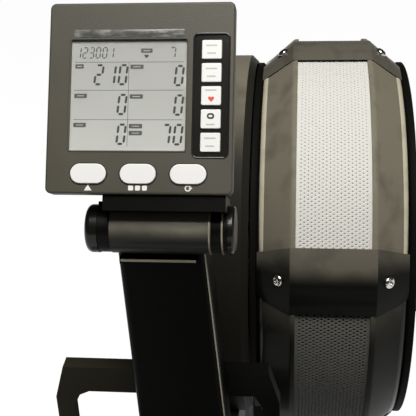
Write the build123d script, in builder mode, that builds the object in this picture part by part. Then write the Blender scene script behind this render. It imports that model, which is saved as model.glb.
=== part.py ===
from build123d import *
import math
import os

os.makedirs("parts", exist_ok=True)

# Rowing machine in millimetres: X runs to the rower's back, Y to the rower's right, Z up.
# Driving sizes of the whole machine
overall_length = 2406.2
foot_span = 600.0
fan_axis_height = 575.0
beam_width = 60.0
beam_height = 90.0
beam_top = 420.0
running_clearance = 0.05
slide_gap = 0.3
wall = 3.0

# Fan drum
mesh_radius = 265.0
mesh_thickness = 1.2
mesh_half_width = 42.0
mesh_tuck = 4.0
rim_radius = mesh_radius + wall
rim_flat_end = mesh_half_width + 5.0
rim_knee = 82.0
rim_knee_radius = rim_radius - 30.0
drum_half_width = 95.0
rim_groove = 3.0
rim_groove_radius = rim_knee_radius - 14.0
flange_start = drum_half_width - 6.0
flange_radius = rim_knee_radius - 2.0
rim_round = 6.0
flange_round = 2.0
fan_centre_y = 143.0
clip_count = 5
clip_width = 76.0
clip_thickness = 5.0
clip_flat = rim_flat_end + 1.0
clip_end = rim_knee + 4.0
clip_end_radius = rim_knee_radius + 2.0
clip_top = rim_radius + clip_thickness
clip_crown = 104.0
clip_spread = math.asin(clip_width / 2 / clip_crown)
clip_lean = math.radians(18.0)
shaft_radius = 10.0
bearing_radius = 26.0

# Front foot and transport wheels
front_end = -overall_length / 2
wheel_radius = 30.0
wheel_width = 22.0
wheel_axis_height = 38.0
wheel_inset = 66.0
wheel_y = foot_span / 2 - wheel_inset
wheel_setback = 122.0
wheel_x = front_end + wheel_setback
foot_front = wheel_x + wheel_radius + 6.0
foot_depth = 60.0
foot_bottom = 14.0
foot_top = 60.0
foot_cap_length = 24.0
tube_corner = 6.0
wheel_bolt_radius = 5.0

# Fan axis
fan_reach = max(rim_radius, (clip_top - clip_crown) * math.cos(clip_lean) + clip_crown)
fan_x = front_end + fan_reach
fan_z = fan_axis_height
fan_axis = Axis((fan_x, fan_centre_y, fan_z), (0, 1, 0))
fan_left_y = fan_centre_y - drum_half_width
fan_right_y = fan_centre_y + drum_half_width

# Fork that carries the shaft, and the round cover over the spool
fork_inner = beam_width / 2
fork_thickness = 6.0
fork_foot = 66.0
fork_neck = 44.0
fork_rise = 20.0
fork_lift = 8.0
fork_eye = 46.0
fork_eye_rise = 6.0
fork_outer = fork_inner + fork_thickness
cover_radius = 247.0
cover_left = -fork_outer - 9.0
cover_right = fan_left_y - 1.0
cover_round = 14.0
cover_slot_depth = 80.0
cover_slot_height = 12.0

# Strap, spool and handle
spool_radius = 30.0
spool_flange = 60.0
spool_half_width = 16.0
strap_width = 24.0
strap_thickness = 1.6
strap_top = fan_z - spool_radius
strap_mid = strap_top - strap_thickness / 2
handle_radius = 13.0
grip_radius = 17.0
handle_middle = 70.0
grip_length = 165.0
handle_bend = 8.0

# Mast, pivot tube and console
mast_offset = 435.0
mast_rear = fan_x + mast_offset
mast_depth = 38.0
mast_front = mast_rear - mast_depth
mast_mid = (mast_rear + mast_front) / 2
mast_top_y = -14.2
mast_top_width = 78.4
mast_base_y = 3.5
mast_base_width = 93.0
pivot_inset = 5.0
pivot_rise = 245.6
pivot_x = mast_rear - pivot_inset
pivot_z = fan_z + pivot_rise
pivot_radius = 21.0
pivot_left = -55.0
pivot_right = 31.5
pin_radius = 5.0
console_inset = 28.3
console_rise = 357.5
console_x = mast_rear - console_inset
console_y = -27.6
console_z = fan_z + console_rise
console_tilt = 32.2
console_width = 157.0
console_height = 161.5
bezel_depth = 14.0
case_depth = 28.0
skin = 2.5

# Rail and seat
beam_reach = 640.0
rail_start = fan_x + beam_reach
rail_cap = 12.0
rail_end = overall_length / 2 - rail_cap
rail_drop = 5.0
rail_top = beam_top - rail_drop
flange_width = 76.0
flange_height = 8.0
web_width = 44.0
rail_height = 80.0
web_bottom = rail_top - rail_height
strip_width = 12.0
strip_height = 1.5
strip_y = 26.0
roller_radius = 18.0
roller_width = 12.0
axle_radius = 5.0
seat_offset = 200.0
seat_x = rail_start + seat_offset
rail_tail = 286.2
seat_travel = rail_end - rail_tail - seat_x
seat_length = 240.0
seat_width = 300.0
carriage_length = 220.0
wheelbase = 160.0
cheek_inner = flange_width / 2 + 6.0
cheek_thickness = 4.0

# Footplates
plate_angle = 46.0
plate_offset = 50.0
plate_x = rail_start - plate_offset
plate_z = 360.0
plate_width = 116.0
plate_y = 118.0
plate_heel = 140.0
plate_toe = 165.0
plate_thickness = 8.0
bar_size = 38.0

# Console frame of reference
tilt_cos = math.cos(math.radians(console_tilt))
tilt_sin = math.sin(math.radians(console_tilt))
face = Plane(origin=(console_x, console_y, console_z), x_dir=(0, 1, 0), z_dir=(tilt_cos, 0, tilt_sin))
pivot_up = -(pivot_x - console_x) * tilt_sin + (pivot_z - console_z) * tilt_cos
pivot_out = (pivot_x - console_x) * tilt_cos + (pivot_z - console_z) * tilt_sin

# Steel frame
beam_nose = 70.0
post_depth = 90.0
spigot_length = 120.0
bar_margin = 20.0
beam_front = fan_x - beam_nose
beam_bottom = beam_top - beam_height
spigot_width = web_width - 2 * 4.0
spigot_bottom = web_bottom + 6.0
spigot_top = rail_top - flange_height - 6.0
plate_cos = math.cos(math.radians(plate_angle))
plate_sin = math.sin(math.radians(plate_angle))
foot_plane = Plane(origin=(plate_x, 0, plate_z), x_dir=(0, 1, 0), z_dir=(plate_cos, 0, plate_sin))

with BuildPart() as main_beam:
    with BuildSketch(Plane.XZ):
        with Locations(((beam_front + rail_start) / 2, (beam_top + beam_bottom) / 2)):
            Rectangle(rail_start - beam_front, beam_height)
    extrude(amount=beam_width / 2, both=True)
    with BuildSketch(Plane.XZ):
        with Locations(((beam_front + rail_start) / 2, (beam_top + beam_bottom) / 2)):
            Rectangle(rail_start - beam_front - 2 * wall, beam_height - 2 * wall)
    extrude(amount=beam_width / 2 - wall, both=True, mode=Mode.SUBTRACT)
    with BuildSketch(Plane.XZ):
        with BuildLine():
            Polyline(
                (beam_front, beam_bottom),
                (beam_front + post_depth, beam_bottom),
                (foot_front + foot_depth, foot_top),
                (foot_front, foot_top),
                close=True,
            )
        make_face()
    extrude(amount=beam_width / 2, both=True)
    with BuildSketch(Plane.XZ):
        with BuildLine():
            Polyline(
                (beam_front + 2 * wall, beam_bottom - wall),
                (beam_front + post_depth - 2 * wall, beam_bottom - wall),
                (foot_front + foot_depth - 2 * wall, foot_top + wall),
                (foot_front + 2 * wall, foot_top + wall),
                close=True,
            )
        make_face()
    extrude(amount=beam_width / 2 - wall, both=True, mode=Mode.SUBTRACT)
    with Locations((rail_start + spigot_length / 2, 0, (spigot_top + spigot_bottom) / 2)):
        Box(spigot_length, spigot_width, spigot_top - spigot_bottom)
    with BuildSketch(foot_plane.offset(-plate_thickness - bar_size)):
        Rectangle(beam_width + bar_margin, bar_size)
    extrude(amount=bar_size, mode=Mode.SUBTRACT)
main_beam.part.label = "main_beam"
export_step(main_beam.part, "parts/main_beam.step")

with BuildPart() as front_foot:
    with Locations((foot_front + foot_depth / 2, 0, (foot_bottom + foot_top) / 2)):
        Box(foot_depth, foot_span - 2 * foot_cap_length, foot_top - foot_bottom)
    fillet(front_foot.edges().filter_by(Axis.Y), tube_corner)
    with BuildSketch(Plane.XZ):
        with Locations((foot_front + foot_depth / 2, (foot_bottom + foot_top) / 2)):
            RectangleRounded(foot_depth - 2 * wall, foot_top - foot_bottom - 2 * wall, tube_corner - wall)
    extrude(amount=foot_span, both=True, mode=Mode.SUBTRACT)
    for side in (-1, 1):
        for offset in (-1, 1):
            lug_y = side * wheel_y + offset * (wheel_width / 2 + 1 + 3)
            with BuildSketch(Plane.XZ.offset(-lug_y)):
                with BuildLine():
                    Polyline(
                        (foot_front + 8, foot_top - 8),
                        (foot_front + 8, foot_bottom + 8),
                        (wheel_x, wheel_axis_height - 11),
                        (wheel_x, wheel_axis_height + 11),
                        close=True,
                    )
                make_face()
                with Locations((wheel_x, wheel_axis_height)):
                    Circle(11)
                with Locations((wheel_x, wheel_axis_height)):
                    Circle(wheel_bolt_radius, mode=Mode.SUBTRACT)
            extrude(amount=3, both=True)
front_foot.part.label = "front_foot"
export_step(front_foot.part, "parts/front_foot.step")

rear_leg_setback = 75.0
rear_foot_inset = 60.0
rear_pad = 40.0
rear_plug = 6.0
leg_size = 50.0
saddle_length = 110.0
saddle_height = 8.0
rear_leg_x = rail_end - rear_leg_setback
rear_foot_span = foot_span - 2 * rear_foot_inset
with BuildPart() as foot_caps:
    for side in (-1, 1):
        cap_place = (foot_front + foot_depth / 2, side * (foot_span - foot_cap_length) / 2, foot_top / 2 + 1)
        with Locations(cap_place):
            Box(foot_depth + 6, foot_cap_length, foot_top + 2)
        with Locations((rear_leg_x, side * (rear_foot_span - rear_pad) / 2, foot_bottom / 2)):
            Box(foot_depth, rear_pad, foot_bottom)
        with Locations((rear_leg_x, side * (rear_foot_span + rear_plug) / 2, foot_top / 2)):
            Box(foot_depth, rear_plug, foot_top)
    fillet(foot_caps.edges().filter_by(Axis.Z).group_by(Axis.Y)[0], 8)
    fillet(foot_caps.edges().filter_by(Axis.Z).group_by(Axis.Y)[-1], 8)
foot_caps.part.label = "foot_caps"
export_step(foot_caps.part, "parts/foot_caps.step")

with BuildPart() as rear_leg:
    with Locations((rear_leg_x, 0, (foot_bottom + foot_top) / 2)):
        Box(foot_depth, rear_foot_span, foot_top - foot_bottom)
    fillet(rear_leg.edges().filter_by(Axis.Y), tube_corner)
    with BuildSketch(Plane.XZ):
        with Locations((rear_leg_x, (foot_bottom + foot_top) / 2)):
            RectangleRounded(foot_depth - 2 * wall, foot_top - foot_bottom - 2 * wall, tube_corner - wall)
    extrude(amount=rear_foot_span, both=True, mode=Mode.SUBTRACT)
    with BuildSketch(Plane.XY.offset(foot_top - wall / 2)):
        with Locations((rear_leg_x, 0)):
            RectangleRounded(leg_size, leg_size, tube_corner)
            leg_bore = leg_size - 2 * wall
            RectangleRounded(leg_bore, leg_bore, tube_corner - wall, mode=Mode.SUBTRACT)
    extrude(amount=web_bottom - foot_top)
    with Locations((rear_leg_x, 0, web_bottom - saddle_height / 2)):
        Box(saddle_length, flange_width, saddle_height)
rear_leg.part.label = "rear_leg"
export_step(rear_leg.part, "parts/rear_leg.step")

for side, name in ((-1, "wheel_left"), (1, "wheel_right")):
    with BuildPart() as wheel:
        with Locations((wheel_x, side * wheel_y, wheel_axis_height)):
            Cylinder(wheel_radius, wheel_width, rotation=(90, 0, 0))
        fillet(wheel.edges().group_by(SortBy.LENGTH)[-1], 4)
        with Locations((wheel_x, side * wheel_y, wheel_axis_height)):
            wheel_bore = wheel_bolt_radius + running_clearance
            Cylinder(wheel_bore, wheel_width, rotation=(90, 0, 0), mode=Mode.SUBTRACT)
    wheel.part.label = name
    export_step(wheel.part, f"parts/{name}.step")

with BuildPart() as fork_plates:
    for side in (-1, 1):
        with BuildSketch(Plane.XZ.offset(-side * (fork_inner + fork_thickness / 2))):
            with BuildLine():
                Polyline(
                    (fan_x - fork_foot, beam_bottom + fork_lift),
                    (fan_x + fork_foot, beam_bottom + fork_lift),
                    (fan_x + fork_neck, fan_z + fork_rise),
                    (fan_x - fork_neck, fan_z + fork_rise),
                    close=True,
                )
            make_face()
            with Locations((fan_x, fan_z + fork_eye_rise)):
                Circle(fork_eye)
            with Locations((fan_x, fan_z)):
                Circle(bearing_radius, mode=Mode.SUBTRACT)
        extrude(amount=fork_thickness / 2, both=True)
fork_plates.part.label = "fork_plates"
export_step(fork_plates.part, "parts/fork_plates.step")

with BuildPart() as shaft_bearings:
    for side in (-1, 1):
        with Locations((fan_x, side * (fork_inner + fork_thickness / 2), fan_z)):
            Cylinder(bearing_radius, fork_thickness + 2, rotation=(90, 0, 0))
            Cylinder(
                shaft_radius + running_clearance, fork_thickness + 2, rotation=(90, 0, 0), mode=Mode.SUBTRACT
            )
shaft_bearings.part.label = "shaft_bearings"
export_step(shaft_bearings.part, "parts/shaft_bearings.step")

fork_bolt_z = beam_bottom + 28.0
with BuildPart() as frame_bolts:
    for side in (-1, 1):
        for dx in (-42, 42):
            with Locations((fan_x + dx, side * (fork_outer + 2.5), fork_bolt_z)):
                Cylinder(8, 5, rotation=(90, 0, 0))
        with Locations((wheel_x, side * wheel_y, wheel_axis_height)):
            Cylinder(wheel_bolt_radius, wheel_width + 14, rotation=(90, 0, 0))
        for offset in (-1, 1):
            with Locations((wheel_x, side * wheel_y + offset * (wheel_width / 2 + 9.5), wheel_axis_height)):
                Cylinder(8, 5, rotation=(90, 0, 0))
frame_bolts.part.label = "frame_bolts"
export_step(frame_bolts.part, "parts/frame_bolts.step")

# Round cover over the spool, open towards the fan and standing on the beam
cover_boss_points = ((-40, beam_top + 24 - fan_z), (40, beam_top + 24 - fan_z), (-33, 30), (33, 30))
cover_mid = (cover_left + cover_right) / 2
with BuildPart() as drive_cover:
    with BuildSketch(Plane(origin=(fan_x, 0, fan_z), x_dir=(0, 1, 0), z_dir=(1, 0, 0))) as cover_sketch:
        with BuildLine():
            Polyline(
                (cover_left, 0),
                (cover_left, cover_radius),
                (cover_right - 8, cover_radius),
                (cover_right, cover_radius - 8),
                (cover_right, cover_radius - 11),
                (cover_right - 8, cover_radius - wall),
                (cover_left + wall, cover_radius - wall),
                (cover_left + wall, 0),
                close=True,
            )
        make_face()
        fillet(cover_sketch.vertices().sort_by_distance((cover_left, cover_radius, 0))[0], cover_round)
        inner_corner = (cover_left + wall, cover_radius - wall, 0)
        fillet(cover_sketch.vertices().sort_by_distance(inner_corner)[0], cover_round - wall)
    revolve(axis=Axis((fan_x, 0, fan_z), (0, 1, 0)))
    for dx, dz in cover_boss_points:
        with Locations((fan_x + dx, (cover_left + wall - fork_outer) / 2, fan_z + dz)):
            Cylinder(7, -fork_outer - cover_left - wall, rotation=(90, 0, 0))
    with Locations((fan_x, cover_mid, beam_top - cover_radius)):
        Box(3 * cover_radius, 2 * cover_radius, 2 * cover_radius, mode=Mode.SUBTRACT)
    with Locations((fan_x + cover_radius, 0, strap_mid)):
        Box(cover_slot_depth, strap_width + 8, cover_slot_height, mode=Mode.SUBTRACT)
drive_cover.part.label = "drive_cover"
export_step(drive_cover.part, "parts/drive_cover.step")

with BuildPart() as strap_spool:
    with Locations((fan_x, 0, fan_z)):
        Cylinder(spool_radius, 2 * spool_half_width, rotation=(90, 0, 0))
    for side in (-1, 1):
        with Locations((fan_x, side * (spool_half_width + 2), fan_z)):
            Cylinder(spool_flange, 4, rotation=(90, 0, 0))
    with Locations((fan_x, 0, fan_z)):
        Cylinder(
            shaft_radius + running_clearance,
            2 * spool_half_width + 8,
            rotation=(90, 0, 0),
            mode=Mode.SUBTRACT,
        )
strap_spool.part.label = "strap_spool"
export_step(strap_spool.part, "parts/strap_spool.step")

rotor_gap = 20.0
blade_root = 95.0
rotor_hub = 40.0
rotor_radius = mesh_radius - rotor_gap
rotor_half_width = mesh_half_width - 4.0
blade_count = 20
blade_length = rotor_radius - blade_root
rotor_plane = Plane(origin=(fan_x, fan_centre_y, fan_z), x_dir=(1, 0, 0), z_dir=(0, 1, 0))
with BuildPart(rotor_plane) as fan_rotor:
    Cylinder(rotor_radius, 3)
    Cylinder(rotor_hub, 2 * rotor_half_width)
    with PolarLocations(rotor_radius - blade_length / 2, blade_count):
        Box(blade_length, 2.5, 2 * rotor_half_width)
    Cylinder(shaft_radius, 2 * rotor_half_width, mode=Mode.SUBTRACT)
fan_rotor.part.label = "fan_rotor"
export_step(fan_rotor.part, "parts/fan_rotor.step")

shaft_left = -fork_outer - 3.0
collar_radius = 18.0
collar_length = 8.0
shaft_right = fan_centre_y + rotor_half_width + collar_length
with BuildPart() as fan_shaft:
    with Locations((fan_x, (shaft_left + shaft_right) / 2, fan_z)):
        Cylinder(shaft_radius, shaft_right - shaft_left, rotation=(90, 0, 0))
    with Locations((fan_x, fan_centre_y + rotor_half_width + collar_length / 2, fan_z)):
        Cylinder(collar_radius, collar_length, rotation=(90, 0, 0))
fan_shaft.part.label = "fan_shaft"
export_step(fan_shaft.part, "parts/fan_shaft.step")

# Drum shells: the left one stands on four bosses on the fork, the right one carries the damper
hub_hole = 30.0
outer_profile = (
    (mesh_half_width, rim_radius),
    (rim_flat_end, rim_radius),
    (rim_knee, rim_knee_radius),
    (rim_knee + rim_groove, rim_groove_radius),
    (flange_start, rim_groove_radius),
    (flange_start, flange_radius),
    (drum_half_width, flange_radius),
)
inner_profile = (
    (drum_half_width - wall, rim_groove_radius - wall),
    (rim_knee + rim_groove - 2, rim_groove_radius - wall),
    (rim_knee - 2, rim_knee_radius - 2),
    (rim_flat_end - 1, mesh_radius),
    (mesh_half_width, mesh_radius),
)
damper_inner = 48.0
damper_outer = 142.0
damper_thickness = 2.5
intake_count = 12
intake_mid = (damper_inner + damper_outer) / 2 + 2
intake_length = damper_outer - damper_inner - 28.0
intake_width = 20.0
for side, name in ((-1, "fan_shell_left"), (1, "fan_shell_right")):
    shell_hub = hub_hole if side < 0 else 0.0
    hub_points = ((drum_half_width, shell_hub), (drum_half_width - wall, shell_hub))
    shell_points = [(side * y, r) for y, r in outer_profile + hub_points + inner_profile]
    with BuildPart() as shell:
        shell_plane = Plane(origin=(fan_x, fan_centre_y, fan_z), x_dir=(0, 1, 0), z_dir=(1, 0, 0))
        with BuildSketch(shell_plane) as shell_sketch:
            with BuildLine():
                Polyline(*shell_points, close=True)
            make_face()
            for y, r in outer_profile[1:3]:
                fillet(shell_sketch.vertices().sort_by_distance((side * y, r, 0))[0], rim_round)
            for y, r in outer_profile[-2:]:
                fillet(shell_sketch.vertices().sort_by_distance((side * y, r, 0))[0], flange_round)
        revolve(axis=fan_axis)
        if side < 0:
            for dx, dz in cover_boss_points:
                with Locations((fan_x + dx, (fan_left_y + fork_outer) / 2, fan_z + dz)):
                    Cylinder(7, fan_left_y - fork_outer, rotation=(90, 0, 0))
        else:
            with Locations((fan_x, fan_right_y + 3, fan_z)):
                Cylinder(damper_inner - 0.1, 6, rotation=(90, 0, 0))
            with Locations((fan_x, fan_right_y + slide_gap + damper_thickness + slide_gap + 2, fan_z)):
                Cylinder(damper_inner + 8, 4, rotation=(90, 0, 0))
            with Locations(rotor_plane.offset(drum_half_width)):
                with PolarLocations(intake_mid, intake_count):
                    Box(intake_length, intake_width, 4 * wall, mode=Mode.SUBTRACT)
    shell.part.label = name
    export_step(shell.part, f"parts/{name}.step")

with BuildPart(rotor_plane.offset(drum_half_width + slide_gap + damper_thickness / 2)) as damper_ring:
    Cylinder(damper_outer, damper_thickness)
    Cylinder(damper_inner, damper_thickness, mode=Mode.SUBTRACT)
    with PolarLocations(intake_mid, intake_count):
        Box(intake_length, intake_width, damper_thickness, mode=Mode.SUBTRACT)
    with Locations((damper_outer + 14, 0, 0)):
        Box(40, 22, damper_thickness)
    with Locations((damper_outer + 22, 0, damper_thickness / 2 + 6)):
        Box(12, 20, 12)
damper_ring.part.label = "damper_ring"
export_step(damper_ring.part, "parts/damper_ring.step")

with BuildPart(rotor_plane) as mesh_band:
    Cylinder(mesh_radius, 2 * (mesh_half_width + mesh_tuck))
    Cylinder(mesh_radius - mesh_thickness, 2 * (mesh_half_width + mesh_tuck), mode=Mode.SUBTRACT)
mesh_band.part.label = "mesh_band"
export_step(mesh_band.part, "parts/mesh_band.step")

clip_angles = [90 - k * 360 / clip_count for k in range(clip_count)]
clip_directions = [(math.cos(math.radians(a)), 0, math.sin(math.radians(a))) for a in clip_angles]
fan_centre = (fan_x, fan_centre_y, fan_z)
clip_planes = [Plane(origin=fan_centre, x_dir=(0, 1, 0), z_dir=(d[2], 0, -d[0])) for d in clip_directions]
clip_slope = math.atan2(clip_top - clip_end_radius, clip_end - clip_flat)
clip_bolt_y = (clip_flat + clip_end) / 2 - 6.0
clip_bolt_r = clip_top - (clip_bolt_y - clip_flat) * math.tan(clip_slope)
clip_bolt_radius = 7.0
clip_bolt_height = 4.5
clip_bolt_sink = 0.5
clip_bolt_rim = 1.5
body_points = [(-y, r) for y, r in reversed(outer_profile[1:])] + list(outer_profile[1:])
clip_points = (
    (-clip_end, clip_end_radius),
    (-clip_flat, clip_top),
    (clip_flat, clip_top),
    (clip_end, clip_end_radius),
)
crown_axis_r = clip_top - clip_crown
crown_points = [(y, r - crown_axis_r) for y, r in clip_points]
crown_foot = rim_groove_radius - crown_axis_r
bolt_seats = []
for plane, d in zip(clip_planes, clip_directions):
    for side in (-1, 1):
        seat_normal = (math.cos(clip_slope) * d[0], side * math.sin(clip_slope), math.cos(clip_slope) * d[2])
        seat_point = plane.from_local_coords((side * clip_bolt_y, clip_bolt_r, 0))
        bolt_seats.append(Plane(origin=seat_point, z_dir=seat_normal).offset(-clip_bolt_sink))
with BuildPart() as cross_clips:
    for plane, angle in zip(clip_planes, clip_angles):
        crown_axis = Axis(plane.from_local_coords((0, crown_axis_r, 0)), (0, 1, 0))
        start = math.radians(angle) + clip_spread
        start_normal = (math.sin(start), 0, -math.cos(start))
        with BuildSketch(Plane(origin=crown_axis.position, x_dir=(0, 1, 0), z_dir=start_normal)):
            with BuildLine():
                Polyline((-clip_end, crown_foot), *crown_points, (clip_end, crown_foot), close=True)
            make_face()
        revolve(axis=crown_axis, revolution_arc=math.degrees(2 * clip_spread))
    for seat in bolt_seats:
        with BuildSketch(seat):
            Circle(clip_bolt_radius + clip_bolt_rim)
        extrude(amount=clip_bolt_height, mode=Mode.SUBTRACT)
    with BuildSketch(Plane(origin=fan_centre, x_dir=(0, 1, 0), z_dir=(1, 0, 0))) as body_sketch:
        with BuildLine():
            Polyline((-drum_half_width, 0), *body_points, (drum_half_width, 0), close=True)
        make_face()
        for side in (-1, 1):
            for y, r in outer_profile[1:3]:
                fillet(body_sketch.vertices().sort_by_distance((side * y, r, 0))[0], rim_round)
            for y, r in outer_profile[-2:]:
                fillet(body_sketch.vertices().sort_by_distance((side * y, r, 0))[0], flange_round)
    revolve(axis=fan_axis, mode=Mode.SUBTRACT)
cross_clips.part.label = "cross_clips"
export_step(cross_clips.part, "parts/cross_clips.step")

with BuildPart() as clip_bolts:
    for seat in bolt_seats:
        with BuildSketch(seat):
            Circle(clip_bolt_radius)
        extrude(amount=clip_bolt_height)
clip_bolts.part.label = "clip_bolts"
export_step(clip_bolts.part, "parts/clip_bolts.step")

# Mast with the strap slot, and the pivot tube on its top
slot_width = strap_width + 24.0
slot_height = 46.0
mast_top = pivot_z - 6.0
with BuildPart() as mast:
    with BuildSketch(Plane.XY.offset(beam_top)):
        with Locations((mast_mid, mast_base_y)):
            RectangleRounded(mast_depth, mast_base_width, tube_corner)
    with BuildSketch(Plane.XY.offset(mast_top)):
        with Locations((mast_mid, mast_top_y)):
            RectangleRounded(mast_depth, mast_top_width, tube_corner)
    loft()
    with BuildSketch(Plane.XY.offset(beam_top)):
        with Locations((mast_mid, mast_base_y)):
            RectangleRounded(mast_depth - 2 * wall, mast_base_width - 2 * wall, tube_corner - wall)
    with BuildSketch(Plane.XY.offset(mast_top)):
        with Locations((mast_mid, mast_top_y)):
            RectangleRounded(mast_depth - 2 * wall, mast_top_width - 2 * wall, tube_corner - wall)
    loft(mode=Mode.SUBTRACT)
    with Locations((mast_rear + 1.5, mast_top_y - 2, pivot_z - pivot_radius - 6)):
        Box(7, mast_top_width - 10, 5)
    with Locations((pivot_x, mast_top_y, pivot_z)):
        Cylinder(pivot_radius, 3 * mast_top_width, rotation=(90, 0, 0), mode=Mode.SUBTRACT)
    with Locations((mast_mid, 0, strap_mid)):
        Box(2 * mast_depth, slot_width, slot_height, mode=Mode.SUBTRACT)
mast.part.label = "mast"
export_step(mast.part, "parts/mast.step")

with BuildPart() as pivot_tube:
    with Locations((pivot_x, (pivot_left + pivot_right) / 2, pivot_z)):
        Cylinder(pivot_radius, pivot_right - pivot_left, rotation=(90, 0, 0))
        Cylinder(pin_radius, pivot_right - pivot_left, rotation=(90, 0, 0), mode=Mode.SUBTRACT)
pivot_tube.part.label = "pivot_tube"
export_step(pivot_tube.part, "parts/pivot_tube.step")

ear_radius = pivot_radius - 0.6
left_ear = 10.5
right_ear = 13.5
ear_left = pivot_left - slide_gap - left_ear
ear_right = pivot_right + slide_gap + right_ear
cap_left = ear_left - slide_gap - 11.0
cap_right = ear_right + slide_gap + 6.0
with BuildPart() as pivot_pin:
    with Locations((pivot_x, (cap_left + cap_right) / 2, pivot_z)):
        Cylinder(pin_radius, cap_right - cap_left, rotation=(90, 0, 0))
    with Locations((pivot_x, cap_left + 5.5, pivot_z)):
        Cylinder(pivot_radius, 11, rotation=(90, 0, 0))
    with Locations((pivot_x, cap_right - 3, pivot_z)):
        Cylinder(pivot_radius, 6, rotation=(90, 0, 0))
    fillet(pivot_pin.edges().group_by(Axis.Y)[0], 5)
    fillet(pivot_pin.edges().group_by(Axis.Y)[-1], 3)
pivot_pin.part.label = "pivot_pin"
export_step(pivot_pin.part, "parts/pivot_pin.step")

# Handle rest behind the mast: a bar, two drop legs and two flat ledges under the grips
rest_depth = 16.0
rest_left = 140.0
rest_right = 88.0
rest_leg = 17.0
rest_rise = 67.4
rest_bar = 30.0
rest_slant = 11.0
rest_top = fan_z + rest_rise
rest_bottom = rest_top - rest_bar
ledge_top = strap_mid - grip_radius - slide_gap
ledge_thickness = 12.0
ledge_reach = 66.0
ledge_end = mast_rear + ledge_reach
with BuildPart() as handle_rest:
    with BuildSketch(Plane.YZ.offset(mast_front - rest_depth)):
        with BuildLine():
            Polyline(
                (-rest_left, ledge_top - ledge_thickness),
                (-rest_left, rest_bottom - 8),
                (-rest_left + rest_slant, rest_top),
                (rest_right - rest_slant, rest_top),
                (rest_right, rest_bottom - 8),
                (rest_right, ledge_top - ledge_thickness),
                (rest_right - rest_leg, ledge_top - ledge_thickness),
                (rest_right - rest_leg, rest_bottom - 14),
                (rest_right - rest_leg - 8, rest_bottom),
                (-rest_left + rest_leg + 18, rest_bottom),
                (-rest_left + rest_leg + 8, rest_bottom - 5),
                (-rest_left + rest_leg, rest_bottom - 22),
                (-rest_left + rest_leg, ledge_top - ledge_thickness),
                close=True,
            )
        make_face()
    extrude(amount=rest_depth)
    for ledge_y in (rest_leg / 2 - rest_left, rest_right - rest_leg / 2):
        ledge_start = mast_front - rest_depth
        with Locations(((ledge_start + ledge_end) / 2, ledge_y, ledge_top - ledge_thickness / 2)):
            Box(ledge_end - ledge_start, rest_leg, ledge_thickness)
handle_rest.part.label = "handle_rest"
export_step(handle_rest.part, "parts/handle_rest.step")

guide_radius = 7.0
guide_pin_radius = 3.0
guide_drop = strap_mid - strap_thickness / 2 - slide_gap - guide_radius
guide_length = strap_width + 6.0
with BuildPart() as strap_guide:
    with Locations((mast_mid, 0, strap_mid)):
        Box(mast_depth + 4, slot_width, slot_height)
        Box(mast_depth + 6, slot_width - 8, slot_height - 8, mode=Mode.SUBTRACT)
    with Locations((mast_mid, 0, guide_drop)):
        Cylinder(guide_pin_radius + running_clearance, slot_width, rotation=(90, 0, 0), mode=Mode.SUBTRACT)
strap_guide.part.label = "strap_guide"
export_step(strap_guide.part, "parts/strap_guide.step")

with BuildPart() as guide_roller:
    with Locations((mast_mid, 0, guide_drop)):
        Cylinder(guide_radius, guide_length, rotation=(90, 0, 0))
        Cylinder(guide_pin_radius, slot_width - 1, rotation=(90, 0, 0))
guide_roller.part.label = "guide_roller"
export_step(guide_roller.part, "parts/guide_roller.step")

# Handle: bent bar, two grips and the strap clip
handle_x = mast_rear + 40.0
clip_length = 40.0
clip_offset = 2.0
clip_wall = 3.0
bend_cos = math.cos(math.radians(handle_bend))
bend_sin = math.sin(math.radians(handle_bend))
grip_end_y = handle_middle + (grip_length + 4) * bend_cos
grip_end_x = handle_x + (grip_length + 4) * bend_sin
with BuildPart() as handle_bar:
    with BuildLine() as handle_path:
        Polyline(
            (grip_end_x, -grip_end_y, strap_mid),
            (handle_x, -handle_middle, strap_mid),
            (handle_x, handle_middle, strap_mid),
            (grip_end_x, grip_end_y, strap_mid),
        )
    with BuildSketch(Plane(origin=handle_path.line @ 0, z_dir=handle_path.line % 0)):
        Circle(handle_radius)
    sweep(transition=Transition.ROUND)
handle_bar.part.label = "handle_bar"
export_step(handle_bar.part, "parts/handle_bar.step")

with BuildPart() as handle_grips:
    for side in (-1, 1):
        grip_start = (handle_x + 4 * bend_sin, side * (handle_middle + 4 * bend_cos), strap_mid)
        grip_plane = Plane(origin=grip_start, x_dir=(0, 0, 1), z_dir=(bend_sin, side * bend_cos, 0))
        with BuildSketch(grip_plane):
            Circle(grip_radius)
            Circle(handle_radius, mode=Mode.SUBTRACT)
        extrude(amount=grip_length)
        with BuildSketch(grip_plane.offset(grip_length)):
            Circle(grip_radius)
        extrude(amount=4)
handle_grips.part.label = "handle_grips"
export_step(handle_grips.part, "parts/handle_grips.step")

with BuildPart() as handle_clip:
    with Locations((handle_x - clip_offset, 0, strap_mid)):
        Box(clip_length, strap_width + 12, 2 * (handle_radius + clip_wall))
    fillet(handle_clip.edges().filter_by(Axis.Y), 8)
    with Locations((handle_x, 0, strap_mid)):
        Cylinder(handle_radius, strap_width + 12, rotation=(90, 0, 0), mode=Mode.SUBTRACT)
handle_clip.part.label = "handle_clip"
export_step(handle_clip.part, "parts/handle_clip.step")

strap_end = handle_x - clip_offset - clip_length / 2
with BuildPart() as pull_strap:
    with Locations(((fan_x + strap_end) / 2, 0, strap_mid)):
        Box(strap_end - fan_x, strap_width, strap_thickness)
    with Locations((fan_x, 0, fan_z)):
        Cylinder(spool_radius, strap_width, rotation=(90, 0, 0), mode=Mode.SUBTRACT)
pull_strap.part.label = "pull_strap"
export_step(pull_strap.part, "parts/pull_strap.step")

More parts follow.
